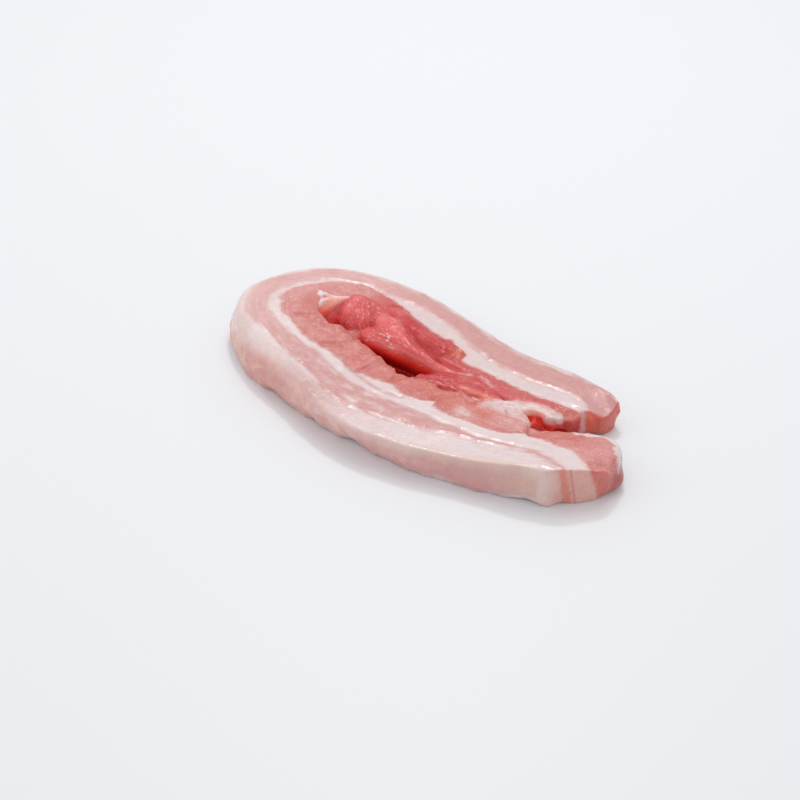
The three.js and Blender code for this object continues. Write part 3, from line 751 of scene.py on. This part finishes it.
# white edge along flap B's lower edge, partly a painted highlight
white_fat_and_painted_light = np.maximum(white_fat_and_painted_light, 0.75 * near_line([(-1.0, -3.6), (5.8, -1.9), (11.9, -0.2), (17.8, 0.0), (24.4, 0.4), (31.0, 4.6)], 0.45) * broken)
# painted glints: white specks along the wall's top
white_fat_and_painted_light = np.maximum(white_fat_and_painted_light, 0.7 * near_line([(-29.6, 6.8), (-26.6, 8.4), (-23.6, 9.4), (-19.4, 6.8)], 2.2) * np.clip(2.8 * perlin(fibre / [2.6, 0.75, 0.75], 111) - 0.2, 0, 1))
white_fat_and_painted_light = np.maximum(white_fat_and_painted_light, 0.8 * on_strip * ease(0.115, 0.07, w) * bump(u, 10.0, 2.4, 2.6))
# pale fat of the membrane's tail, whitened as painted light on its shaded side
white_fat_and_painted_light = np.maximum(white_fat_and_painted_light, 0.34 * on_fat * ease(44.0, 47.0, x) * ease(51.0, 48.6, x + 2.0 * perlin(v / 1.6, 118)) * ease(6.5, 9.5, z + 2.2 * perlin(v / 1.6, 117)))
spot = np.exp(-(((x - 24.6) / 4.2)**2 + ((y + 10.9) / 2.4)**2)) * on_strip * up_face * np.clip(0.8 + 0.6 * perlin(v / 2.2, 104), 0, 1)
white_fat_and_painted_light = np.maximum(white_fat_and_painted_light, ease(-0.03, 0.06, w - 0.90 - np.where(u < 0.95, 0.11, 0.07) * ((u - 0.95) / 0.7)**2 + 0.04 * perlin(v / 3.0, 115)) * on_strip * ease(2.2, 1.7, u) * ease(5.5, 10.5, z + 1.4 * perlin(v / 3.5, 116)))
film = on_fat * 0.9 * (1 - 0.15 * ease(43.0, 47.0, x)) + 0.6 * on["hem"] + 0.30 * on_strip * ease(2.2, 2.42, u) * ease(3.1, 2.6, u) * ease(0.70, 0.80, w) + 0.95 * spot
film = np.maximum(film, 0.6 * near_line([(17.0, 11.6), (20.6, 10.4), (24.2, 8.6)], 1.0) * np.clip(0.7 + perlin(v / 1.7, 112), 0, 1))
film = np.maximum(film, 0.7 * near_line([(6.5, 7.6), (10.0, 8.9), (14.4, 10.4)], 0.8) * np.clip(0.6 + perlin(v / 1.7, 113), 0, 1))
# orange: the flesh's own orange at the second muscle, the raw fold, the fill, the membrane's tail and the front lean;
# on the bay's slope and along flap B's thin lower edge it is painted light shining through the flesh
orange = np.clip(in_two * (0.8 * ease(-1.5, 4, x) + 0.8 * np.exp(-(((x + 26.5) / 3.0)**2 + ((y - 26.2) / 1.6)**2))) + 0.9 * in_bay * on_strip
                 + 1.2 * on["raw"] + 0.35 * on_fat * ease(43.0, 47.0, x) * ease(9.6, 8.0, z) + 0.25 * on["fill"] + 0.9 * on_thin * near_line([(15.5, 2.2), (24.0, 2.6), (28.6, 3.4)], 1.3) + 0.35 * on_strip * ease(0.72, 0.95, w) * bump(u, 3.6, 1.6), 0, 1)
# painted shade: dark red in the valley under the second muscle's ragged end, and over the wall's top where that shade
# falls
valley_shade = near_line([(-13.0, 14.0), (-6.0, 12.2), (-0.6, 11.2)], 1.7) * np.clip(on_muscle + in_two, 0, 1)
valley_shade = np.maximum(valley_shade, 0.5 * on["wall"] * ease(-19.0, -12.0, x) * ease(3.0, -2.0, x))
tall = z / rind_height(u)
cream = 0.9 * on_strip * ease(0.12, 0.03, w) * ease(0.62, 0.92, tall) * ease(4.2, 2.4, u)
cream = np.maximum(cream, 0.55 * on_strip * ease(0.16, 0.04, w) * ease(0.55, 0.1, u))
cream = np.maximum(cream, 0.8 * on_strip * np.clip(perlin(v / 9.0, 105) + 0.4 * perlin(v / 3.0, 106), 0, 1) * ease(0.16, 0.06, w) * bump(u, 6.4, 2.2))
bend = bump(u, 9.6, 2.6, 3.0)
# the cut ends' faces, picked by their facing, get a darker orange tint as painted shade
cut_front = on_strip * ease(0.35, 0.65, nrm @ [0.72, -0.69, 0.0]) * ease(0.9, 0.5, u)
cut_rear = on_strip * ease(0.30, 0.62, nrm @ [0.90, -0.43, 0.0]) * ease(LAST - 1.1, LAST - 0.7, u) * (1 - 0.6 * ease(7.0, 9.5, z) * ease(0.70, 0.78, w))
# painted shade low on the front end's inner side
inner_end = on_strip * ease(0.96, 1.02, w) * ease(1.6, 0.9, u) * ease(9.5, 6.5, z)
# white flecks along the folds' fibres: pale strands, and painted glints
strand_glint = np.clip(on["lobe"] + on["bundle"] + on["wall"] * ease(10.5, 12.5, z) * (0.25 + 0.75 * ease(-9, -18, x)) + 0.12 * on_thin + 0.4 * on["mass"], 0, 1)
# painted light: brighter red on the wall's face below its ridge
face = on["wall"] * ease(13.0, 11.0, z)
line2 = on_strip * np.exp(-((w - 0.43) * wide - 0.11 * lean_out)**2 / 0.16) * cut_front
# painted shade: a darker brownish line along the fold's crease
crease_shade = fold_line * up_face * on_strip
store("layers", d1, d2, d3)
store("place", along, w * wide, z)
store("zones", dark, np.clip(white_fat_and_painted_light, 0, 1), side)
# painted shade low on the rear end's lean face
low_rear_shade = on_strip * ease(LAST - 0.9, LAST - 0.5, u) * ease(0.70, 0.78, w) * ease(9.0, 4.5, z)
# the crevice's painted shade, the orange tone (painted light on the bay's slope and flap B's thin edge), and painted
# shade low on the rear end
store("shade_and_tones", deep, orange, low_rear_shade)
store("extra", bend, cream, cut_front)
store("fibre", *fibre.T)
store("veils", np.clip(film, 0, 1), strand_glint, tall)
store("ends", cut_rear, np.maximum(inner_end, 0), face)
store("lines", line2, crease_shade, in_two + 0.6 * rear_lean + 0.95 * on_thin)
# the hollow at the front leg's end: red flesh, with painted light on its upper part and painted shade low down
hollow = ease(0.30, 0.65, np.exp(-(((x - 43.6) / 4.4)**2 + ((y - 6.4) / 3.6)**2))) * ease(48.5, 46.5, x) * np.maximum(ease(10.9, 9.4, z + 0.5 * perlin(v / 2.0, 109)), ease(0.35, 0.6, nrm @ [0.5, -0.86, 0.0]))
# painted light on the rind's side, mostly in the bend
rind_lit = 1.0 * bump(u, 8.0, 1.5, 1.8) + 0.6 * bump(u, 4.7, 0.8)
rear = ease(11.5, 13.5, u)
redder = np.clip(lean_red * (bump(u, 3.3, 1.2, 1.1) * ease(0.66, 0.84, w) + 0.4 * bump(u, 4.6, 1.0) + 0.9 * bump(u, 8.4, 1.9, 2.0) * ease(0.70, 0.88, w)), 0, 1)
line1 = on_strip * np.exp(-np.abs(((w - 0.322) * wide - 0.12 * lean_out) / 1.1)**3) * cut_front
# the step's side at the rear end: painted shade, lighter at its top as painted light
step_side = on_strip * ease(0.25, 0.6, nrm @ [-0.45, -0.89, 0.0]) * ease(LAST - 1.1, LAST - 0.8, u) * ease(0.45, 0.55, w) * ease(0.80, 0.70, w)
# painted shade along the low gap beside the hollow
hollow = np.maximum(hollow, np.clip(1.3 * near_line([(43.0, 4.6), (47.0, 6.6), (51.5, 10.2)], 2.6), 0, 1) * ease(8.6, 7.2, z) * (1 - on_strip))
# masks for the bay's painted light and shade, the hollow's painted light and shade, and the rind's painted light
store("bay", in_bay * on_strip * ease(3.0, 5.0, z), hollow, rind_lit)
store("more", rear, redder, line1)
store("step", step_side, w, bump(u, 4.9, 1.7, 1.5))
lighter = on["bundle"] + 0.9 * on["lobe"] * ease(-40.5, -45.0, x) + 0.8 * near_line([(-37.0, 24.0), (-31.0, 23.6), (-27.0, 22.6)], 2.2) * (in_two + on["mass"])
# the crevice edge (lower roughness, and painted sheen in its colour), the valley's painted shade, and the lighter folds
store("wet", brink, valley_shade, np.clip(lighter, 0, 1))
# painted light on the upper part of the rear end's side-facing face
top_rear = on_strip * ease(LAST - 0.9, LAST - 0.5, u) * ease(0.70, 0.78, w) * ease(8.0, 9.8, z) * ease(0.85, 0.6, nrm[:, 2])
# the bend rind's painted light, painted light high on the rear end, and the red lean
store("left", bump(u, 8.3, 0.9, 1.4), top_rear, lean_red)
# painted shade on the rolled rind edge's fat, painted light at the rind's foot, and a painted shade band on the rind's
# side
store("edge", 0.95 * on_strip * ease(0.25, 0.15, w) * bump(u, 5.2, 0.65, 0.8), bump(u, 4.5, 0.8, 0.8), bump(u, 6.2, 0.6, 0.8))

slice_ob = bpy.data.objects.new("belly_slice", me)
bpy.context.scene.collection.objects.link(slice_ob)

# ------------------------------------------------------------------ material
mat = bpy.data.materials.new("raw_belly")
mat.use_nodes = True
nt = mat.node_tree
bsdf = nt.nodes["Principled BSDF"]


def node(kind, **props):
    n = nt.nodes.new(kind)
    for k, val in props.items():
        setattr(n, k, val)
    return n


def put(socket, value):
    if isinstance(value, bpy.types.NodeSocket):
        nt.links.new(value, socket)
    else:
        socket.default_value = value


def math_node(op, a, b=None, c=None, clamp=False):
    n = node("ShaderNodeMath", operation=op, use_clamp=clamp)
    put(n.inputs[0], a)
    if b is not None:
        put(n.inputs[1], b)
    if c is not None:
        put(n.inputs[2], c)
    return n.outputs[0]


def attr(name):
    n = node("ShaderNodeAttribute", attribute_name=name, attribute_type="GEOMETRY")
    sep = node("ShaderNodeSeparateXYZ")
    nt.links.new(n.outputs["Vector"], sep.inputs[0])
    return n.outputs["Vector"], sep.outputs[0], sep.outputs[1], sep.outputs[2]


def scaled(vector, sx, sy, sz):
    n = node("ShaderNodeVectorMath", operation="MULTIPLY")
    put(n.inputs[0], vector)
    n.inputs[1].default_value = (sx, sy, sz)
    return n.outputs[0]


def noise(vector, scale, detail=3.0, rough=0.55, distort=0.0):
    n = node("ShaderNodeTexNoise")
    put(n.inputs["Vector"], vector)
    n.inputs["Scale"].default_value = scale
    n.inputs["Detail"].default_value = detail
    n.inputs["Roughness"].default_value = rough
    n.inputs["Distortion"].default_value = distort
    return n.outputs["Fac"]


def ramp(x, a, b, lo=0.0, hi=1.0):
    n = node("ShaderNodeMapRange", interpolation_type="SMOOTHSTEP")
    put(n.inputs["Value"], x)
    n.inputs["From Min"].default_value, n.inputs["From Max"].default_value = a, b
    n.inputs["To Min"].default_value, n.inputs["To Max"].default_value = lo, hi
    return n.outputs["Result"]


def mix(f, a, b):
    n = node("ShaderNodeMix", data_type="RGBA")
    put(n.inputs["Factor"], f)
    for s, val in ((n.inputs[6], a), (n.inputs[7], b)):
        put(s, val if isinstance(val, bpy.types.NodeSocket) else (*val, 1.0))
    return n.outputs[2]


place, along_mm, across_mm, high_mm = attr("place")
_, b1, b2, b3 = attr("layers")
_, z_dark, z_white_fat_and_painted_light, z_rind = attr("zones")
_, t_crevice_shade, t_orange, t_low_shade = attr("shade_and_tones")
_, x_bend, x_cream, x_end = attr("extra")
coords = node("ShaderNodeTexCoord").outputs["Object"]
mm_coords = scaled(coords, 1000, 1000, 1000)


_, v_film, v_strand_glint, v_tall = attr("veils")
_, e_rear, e_inner, e_face = attr("ends")
_, l_two, l_crease_shade, l_second = attr("lines")
fibre_v, _, _, _ = attr("fibre")
_, x_bay, x_hollow, x_rind_lit = attr("bay")
_, x_rear, x_redder, l_one = attr("more")
_, e_step, share, x_marble = attr("step")
_, x_brink, x_valley_shade, x_bundle = attr("wet")
_, x_edge, x_pale_foot, x_low = attr("edge")
_, x_white, e_top, x_lean = attr("left")
grain = noise(mm_coords, 1.05, 4, 0.62)
mottle = noise(mm_coords, 0.42, 3, 0.55)
blotch = noise(mm_coords, 0.20, 4, 0.55)
clouds = noise(mm_coords, 0.10, 3, 0.5)
streaks = noise(scaled(place, 0.09, 0.50, 0.35), 1.0, 3, 0.5)
hair = noise(scaled(place, 0.07, 1.15, 0.8), 1.0, 3, 0.5)
strands = noise(scaled(fibre_v, 0.12, 1.0, 1.0), 1.0, 3, 0.55)
flecks = noise(scaled(fibre_v, 0.30, 1.5, 1.5), 1.0, 2, 0.5)


def off(n, amount):
    return math_node("MULTIPLY", math_node("SUBTRACT", n, 0.5), amount)


def added(*terms):
    total = terms[0]
    for t in terms[1:]:
        total = math_node("ADD", total, t)
    return total


calm = ramp(x_bend, 0.2, 0.8, 1.0, 0.55)
m1 = ramp(added(b1, math_node("MULTIPLY", off(streaks, 6.0), calm), off(hair, 2.5), off(grain, 1.0)), -1.5, 1.5)
m2 = ramp(added(b2, off(streaks, 5.0), off(hair, 2.0), off(grain, 0.8)), -1.5, 1.5)
m3 = ramp(added(b3, off(mottle, 2.2), off(grain, 0.8)), -1.2, 1.2)

FAT, FAT_PINK, FAT_WARM, FAT_WHITE = (0.83, 0.69, 0.685), (0.765, 0.555, 0.55), (0.79, 0.60, 0.50), (0.88, 0.79, 0.785)
PALE, PALE_DEEP = (0.765, 0.455, 0.44), (0.69, 0.37, 0.355)
RED, RED_DEEP, RED_PALE = (0.68, 0.23, 0.212), (0.60, 0.14, 0.118), (0.75, 0.385, 0.37)
MUSCLE, MUSCLE_DEEP = (0.76, 0.11, 0.115), (0.60, 0.05, 0.055)
# first two: a painted glow of light through the flesh, and painted shade at the crevice's bottom; the third is the
# flesh's orange, also used as painted light
GLOW, PIT_SHADE, ORANGE = (0.93, 0.05, 0.03), (0.38, 0.002, 0.002), (0.80, 0.27, 0.17)
# the third: rind pinker near its foot, darker there as painted shade
RIND, RIND_MAUVE, RIND_FOOT = (0.79, 0.47, 0.45), (0.67, 0.345, 0.345), (0.74, 0.36, 0.35)
# first: pale strands and painted glints; second: painted light on the wall's face; third: painted light; fourth:
# painted shade in a crease
STRAND_GLINT, WALL_LIT, LIT, CREASE_SHADE = (0.90, 0.76, 0.76), (0.86, 0.185, 0.17), (0.95, 0.44, 0.37), (0.62, 0.30, 0.27)
# all three painted shade: on the front and rear cut ends' faces, and low on the front end's inner side
FRONT_END_SHADE, REAR_END_SHADE, INNER_SHADE = (0.94, 0.63, 0.56), (1.0, 0.40, 0.31), (0.50, 0.20, 0.20)
# the bay's slope: red flesh, painted shade lower down, and painted shade in its gap
BAY_MID, BAY_SHADE, BAY_GAP_SHADE = (1.0, 0.235, 0.16), (0.95, 0.11, 0.07), (0.60, 0.05, 0.055)
# the hollow's red (partly a painted glow), its painted shade low down, and painted light on the rind's side
HOLLOW, HOLLOW_SHADE, RIND_LIT = (0.93, 0.05, 0.03), (0.50, 0.005, 0.005), (1.0, 0.61, 0.56)
# after the second muscle's red: painted shade on the rind near the front end, the rind's painted shade and darker
# mottles, and painted shade on the rolled rind edge's fat
SECOND, RIND_DIM, RIND_LOW, FAT_EDGE = (0.52, 0.015, 0.02), (0.58, 0.295, 0.285), (0.68, 0.325, 0.30), (0.63, 0.37, 0.34)
# the third: painted light at the hollow's top
FAT_DIM, PEACH, HOLLOW_LIT = (0.72, 0.60, 0.60), (0.90, 0.57, 0.44), (1.0, 0.55, 0.46)
# the second: painted shade on the step's side at the rear end
LINE_ONE, STEP_SHADE, FAR_PALE = (0.78, 0.40, 0.32), (0.84, 0.175, 0.11), (0.62, 0.30, 0.285)

fat_c = mix(ramp(streaks, 0.48, 0.74, 0, 0.75), FAT, FAT_PINK)
fat_c = mix(ramp(clouds, 0.48, 0.72, 0, 0.5), fat_c, FAT_PINK)
fat_c = mix(ramp(mottle, 0.52, 0.72, 0, 0.5), fat_c, FAT_WHITE)
fat_c = mix(x_cream, fat_c, FAT_WARM)
fat_c = mix(math_node("MULTIPLY", x_rear, 0.55), fat_c, FAT_PINK)
fat_c = mix(ramp(x_bend, 0.5, 0.1, 0, 0.35), fat_c, FAT_DIM)
# painted shade on the fat of the rolled rind edge
fat_c = mix(x_edge, fat_c, FAT_EDGE)
fat_c = mix(math_node("MULTIPLY", x_pale_foot, ramp(share, 0.30, 0.20, 0, 0.45)), fat_c, FAT_PINK)
pale_c = mix(ramp(streaks, 0.40, 0.66, 0, 0.8), PALE, PALE_DEEP)
pale_c = mix(ramp(hair, 0.46, 0.70, 0, 0.5), pale_c, FAT_PINK)
pale_c = mix(ramp(hair, 0.52, 0.32, 0, 0.3), pale_c, PALE_DEEP)
pale_c = mix(ramp(x_bend, 0.6, 0.1, 0, 0.75), pale_c, FAR_PALE)
marbling = noise(scaled(place, 0.16, 0.38, 0.4), 1.0, 3, 0.5)
pale_c = mix(math_node("MULTIPLY", ramp(marbling, 0.44, 0.70, 0.05, 0.75), x_marble), pale_c, FAT)
red_c = mix(ramp(blotch, 0.38, 0.64), RED, RED_DEEP)
red_c = mix(ramp(mottle, 0.54, 0.72, 0, 0.4), red_c, RED_PALE)
red_c = mix(ramp(grain, 0.50, 0.72, 0, 0.5), red_c, RED_PALE)
red_c = mix(ramp(along_mm, 22.0, 8.0, 0, 0.4), red_c, RED_PALE)
red_c = mix(math_node("MULTIPLY", x_bend, 0.62), red_c, RED_PALE)
red_c = mix(math_node("MULTIPLY", x_redder, 0.8), red_c, RED_DEEP)
# painted sheen: lighter pink patches along the front leg's torn edge by the crevice
red_c = mix(math_node("MULTIPLY", x_brink, ramp(mottle, 0.48, 0.66, 0, 0.4)), red_c, LIT)
dark_c = mix(ramp(strands, 0.38, 0.62), MUSCLE, MUSCLE_DEEP)
dark_c = mix(ramp(strands, 0.58, 0.72, 0, 0.25), dark_c, RED_PALE)
dark_c = mix(ramp(grain, 0.58, 0.80, 0, 0.25), dark_c, RED_PALE)
dark_c = mix(math_node("MULTIPLY", l_second, 0.92), dark_c, mix(ramp(strands, 0.40, 0.60), MUSCLE_DEEP, SECOND))
# painted light on the wall's face
dark_c = mix(math_node("MULTIPLY", e_face, 0.8), dark_c, WALL_LIT)
dark_c = mix(math_node("MULTIPLY", x_bundle, 0.45), dark_c, (0.95, 0.21, 0.21))
# painted shade in the valley under the second muscle's end
dark_c = mix(math_node("MULTIPLY", x_valley_shade, 0.75), dark_c, (0.50, 0.02, 0.02))
# white flecks on the folds: pale strands and painted glints
dark_c = mix(math_node("MULTIPLY", ramp(flecks, 0.61, 0.71, 0, 0.6), v_strand_glint), dark_c, STRAND_GLINT)
rind_c = mix(ramp(blotch, 0.40, 0.64), RIND, RIND_MAUVE)
# rind pinker towards its foot, darkened there as painted shade
rind_c = mix(ramp(v_tall, 0.75, 0.05, 0, 0.85), rind_c, RIND_FOOT)
rind_c = mix(ramp(mottle, 0.55, 0.72, 0, 0.3), rind_c, FAT)
# painted light on the rind's side, lighter at the top, with painted shade towards the foot
rind_c = mix(math_node("MULTIPLY", x_rind_lit, ramp(mottle, 0.30, 0.60, 0.6, 1.0)), rind_c, mix(ramp(v_tall, 0.30, 0.95), RIND_LOW, RIND_LIT))
# painted light: near-white upper rind side in the bend
rind_c = mix(math_node("MULTIPLY", x_white, ramp(v_tall, 0.20, 0.60, 0, 0.85)), rind_c, (0.95, 0.76, 0.72))
rind_c = mix(x_cream, rind_c, FAT_WARM)
# painted shade on the rind towards the front cut end
rind_c = mix(ramp(along_mm, 60.0, 25.0, 0, 0.55), rind_c, RIND_DIM)
rind_c = mix(ramp(along_mm, 16.0, 3.0, 0, 0.75), rind_c, (0.72, 0.525, 0.46))
# painted shade: a darker band on the rind's side below the bend
rind_c = mix(math_node("MULTIPLY", x_low, ramp(v_tall, 0.95, 0.55, 0, 0.8)), rind_c, RIND_LOW)
# painted light: paler rind at the foot, where the overhang throws shade
rind_c = mix(math_node("MULTIPLY", x_pale_foot, 0.75), rind_c, (0.78, 0.53, 0.50))
rind_c = mix(math_node("MULTIPLY", ramp(blotch, 0.50, 0.64, 0, 0.7), ramp(x_rind_lit, 0.05, 0.5, 0.25, 1.0)), rind_c, PEACH)
rind_c = mix(math_node("MULTIPLY", ramp(mottle, 0.50, 0.38, 0, 0.4), ramp(x_rind_lit, 0.05, 0.5)), rind_c, RIND_LOW)

col = mix(m1, fat_c, pale_c)
col = mix(m2, col, fat_c)
col = mix(m3, col, red_c)
col = mix(ramp(z_dark, 0.30, 0.70), col, dark_c)
col = mix(l_two, col, PALE_DEEP)
# painted shade in the fold's crease
col = mix(math_node("MULTIPLY", l_crease_shade, 0.75), col, CREASE_SHADE)
# orange: the flesh's tone, and painted light on the bay's slope and flap B's thin edge
col = mix(math_node("MULTIPLY", t_orange, 0.7), col, ORANGE)
# the bay's slope: painted light at its top, red flesh below, then painted shade, and near-black red painted for the
# shade in its gap
bay_c = mix(ramp(high_mm, 11.4, 13.0), BAY_MID, LIT)
bay_c = mix(ramp(high_mm, 11.4, 10.6), bay_c, BAY_SHADE)
bay_c = mix(ramp(high_mm, 10.6, 9.6), bay_c, BAY_GAP_SHADE)
col = mix(x_bay, col, bay_c)
# painted shade on the front end's inner side
col = mix(e_inner, col, INNER_SHADE)
col = mix(math_node("MULTIPLY", v_film, ramp(mottle, 0.30, 0.62, 0.65, 1.0)), col, mix(ramp(strands, 0.38, 0.60), FAT_PINK, FAT_WHITE))
# white fat, shreds and membranes, partly painted glints and painted light
col = mix(ramp(added(z_white_fat_and_painted_light, off(grain, 0.9)), 0.25, 0.75), col, fat_c)
col = mix(z_rind, col, rind_c)
col = mix(l_one, col, LINE_ONE)
# hollow: painted shade low down, red flesh partly painted as a glow, painted light at the top
col = mix(x_hollow, col, mix(ramp(high_mm, 5.5, 8.0), HOLLOW_SHADE, mix(ramp(high_mm, 8.0, 9.6), HOLLOW, HOLLOW_LIT)))
# painted glow, then painted shade, deep in the crevice
col = mix(ramp(t_crevice_shade, 0.0, 0.55), col, GLOW)
col = mix(ramp(t_crevice_shade, 0.35, 1.0), col, PIT_SHADE)


def tinted(f, a, b):
    n = node("ShaderNodeMix", data_type="RGBA", blend_type="MULTIPLY")
    put(n.inputs["Factor"], f)
    put(n.inputs[6], a)
    n.inputs[7].default_value = (*b, 1.0)
    return n.outputs[2]


white = math_node("MULTIPLY", m2, math_node("SUBTRACT", 1.0, m3))
# painted shade on the cut ends' faces
col = tinted(math_node("MULTIPLY", x_end, ramp(share, 0.05, 0.32, 0.25, 1.0)), col, FRONT_END_SHADE)
col = tinted(math_node("MULTIPLY", e_rear, math_node("MULTIPLY_ADD", white, -0.5, 1.0)), col, REAR_END_SHADE)
# painted shade on the step's side, painted light at its top
col = mix(math_node("MULTIPLY", e_step, ramp(grain, 0.35, 0.65, 0.7, 1.0)), col, mix(ramp(high_mm, 5.5, 8.5), STEP_SHADE, (1.0, 0.29, 0.17)))
# painted shade low on the rear end
col = mix(math_node("MULTIPLY", t_low_shade, 0.8), col, (0.55, 0.035, 0.03))
# painted light high on the rear end
col = mix(math_node("MULTIPLY", e_top, 0.65), col, (1.0, 0.42, 0.32))
put(bsdf.inputs["Base Color"], col)
wet = ramp(noise(mm_coords, 0.35, 3), 0.35, 0.65)
rough = math_node("MULTIPLY_ADD", wet, 0.20, 0.17)
rough = math_node("SUBTRACT", rough, math_node("MULTIPLY", math_node("MAXIMUM", ramp(z_dark, 0.3, 0.7), v_film), 0.12))
rough = math_node("SUBTRACT", rough, math_node("MULTIPLY", x_brink, 0.10))
rough = math_node("SUBTRACT", rough, math_node("MULTIPLY", x_lean, 0.06))
rough = math_node("ADD", rough, math_node("MULTIPLY", z_rind, 0.10))
put(bsdf.inputs["Roughness"], rough)
bsdf.inputs["Subsurface Weight"].default_value = 0.28
bsdf.inputs["Subsurface Radius"].default_value = (1.0, 0.48, 0.40)
bsdf.inputs["Subsurface Scale"].default_value = 0.0018
bsdf.inputs["Specular IOR Level"].default_value = 0.5
bmp = node("ShaderNodeBump")
bmp.inputs["Strength"].default_value = 0.6
bmp.inputs["Distance"].default_value = 0.0004
fine = noise(mm_coords, 0.8, 2, 0.5)
tiny = noise(mm_coords, 1.9, 2, 0.6)
put(bmp.inputs["Height"], added(math_node("MULTIPLY", fine, ramp(b3, -1.0, 1.0, 0.5, 1.0)), math_node("MULTIPLY", grain, ramp(b3, -1.0, 1.0, 0.12, 0.8)), math_node("MULTIPLY", hair, 0.12), math_node("MULTIPLY", tiny, math_node("MULTIPLY", x_lean, 0.55)),
                                math_node("MULTIPLY", strands, ramp(z_dark, 0.3, 0.7, 0.0, 0.9))))
put(bsdf.inputs["Normal"], bmp.outputs["Normal"])
me.materials.append(mat)

# ------------------------------------------------------------------ stage
floor = new_object("floor", np.array([(-3, -3, 0), (3, -3, 0), (3, 3, 0), (-3, 3, 0)], float), np.array([(0, 1, 2, 3)]))
fmat = bpy.data.materials.new("floor")
fmat.use_nodes = True
fmat.node_tree.nodes["Principled BSDF"].inputs["Base Color"].default_value = (0.835, 0.858, 0.890, 1)
floor.data.materials.append(fmat)

AZ, EL, ROLL, DIST = math.radians(35.186), math.radians(36.0), math.radians(2.0), 676.8
TARGET = np.array([-6.18, -4.71, 0.0]) + OFFSET
back = np.array([math.sin(AZ) * math.cos(EL), -math.cos(AZ) * math.cos(EL), math.sin(EL)])
right = unit(np.cross(-back, [0, 0, 1]))
up = np.cross(right, -back)
cx = math.cos(ROLL) * right + math.sin(ROLL) * up
cy = -math.sin(ROLL) * right + math.cos(ROLL) * up
cam = bpy.data.cameras.new("camera")
cam.lens, cam.sensor_width, cam.sensor_fit = 85.0, 36.0, "HORIZONTAL"
cam.clip_start, cam.clip_end = 0.01, 20
cam_ob = bpy.data.objects.new("camera", cam)
m = Matrix.Identity(4)
pos = (TARGET + back * DIST) * MM
for r in range(3):
    m[r][0], m[r][1], m[r][2], m[r][3] = cx[r], cy[r], back[r], pos[r]
cam_ob.matrix_world = m
bpy.context.scene.collection.objects.link(cam_ob)
bpy.context.scene.camera = cam_ob

world = bpy.data.worlds.new("world")
world.use_nodes = True
world.node_tree.nodes["Background"].inputs["Color"].default_value = (1, 1, 1, 1)
world.node_tree.nodes["Background"].inputs["Strength"].default_value = 0.715
bpy.context.scene.world = world


def area(name, where, aim, size, power, colour=(1, 1, 1)):
    li = bpy.data.lights.new(name, "AREA")
    li.shape, li.size, li.energy, li.color = "DISK", size, power, colour
    ob = bpy.data.objects.new(name, li)
    w, t = np.array(where, float), np.array(aim, float)
    z = unit(w - t)
    x = unit(np.cross([0, 1, 0.01], z))
    y = np.cross(z, x)
    mm = Matrix.Identity(4)
    for r in range(3):
        mm[r][0], mm[r][1], mm[r][2], mm[r][3] = x[r], y[r], z[r], w[r]
    ob.matrix_world = mm
    bpy.context.scene.collection.objects.link(ob)
    return ob


area("key_light", (-0.16, 0.34, 0.95), (0, 0, 0), 0.60, 2.0)
area("fill_light", (-0.60, -0.60, 0.40), (0, 0, 0), 0.60, 0.7, (1.0, 0.93, 0.90))
area("spark_light", (-0.27, 0.40, 0.80), (0, 0, 0), 0.08, 1.15)
bpy.context.scene.view_settings.view_transform = "Standard"

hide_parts("slice")
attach(slice_ob, "root")
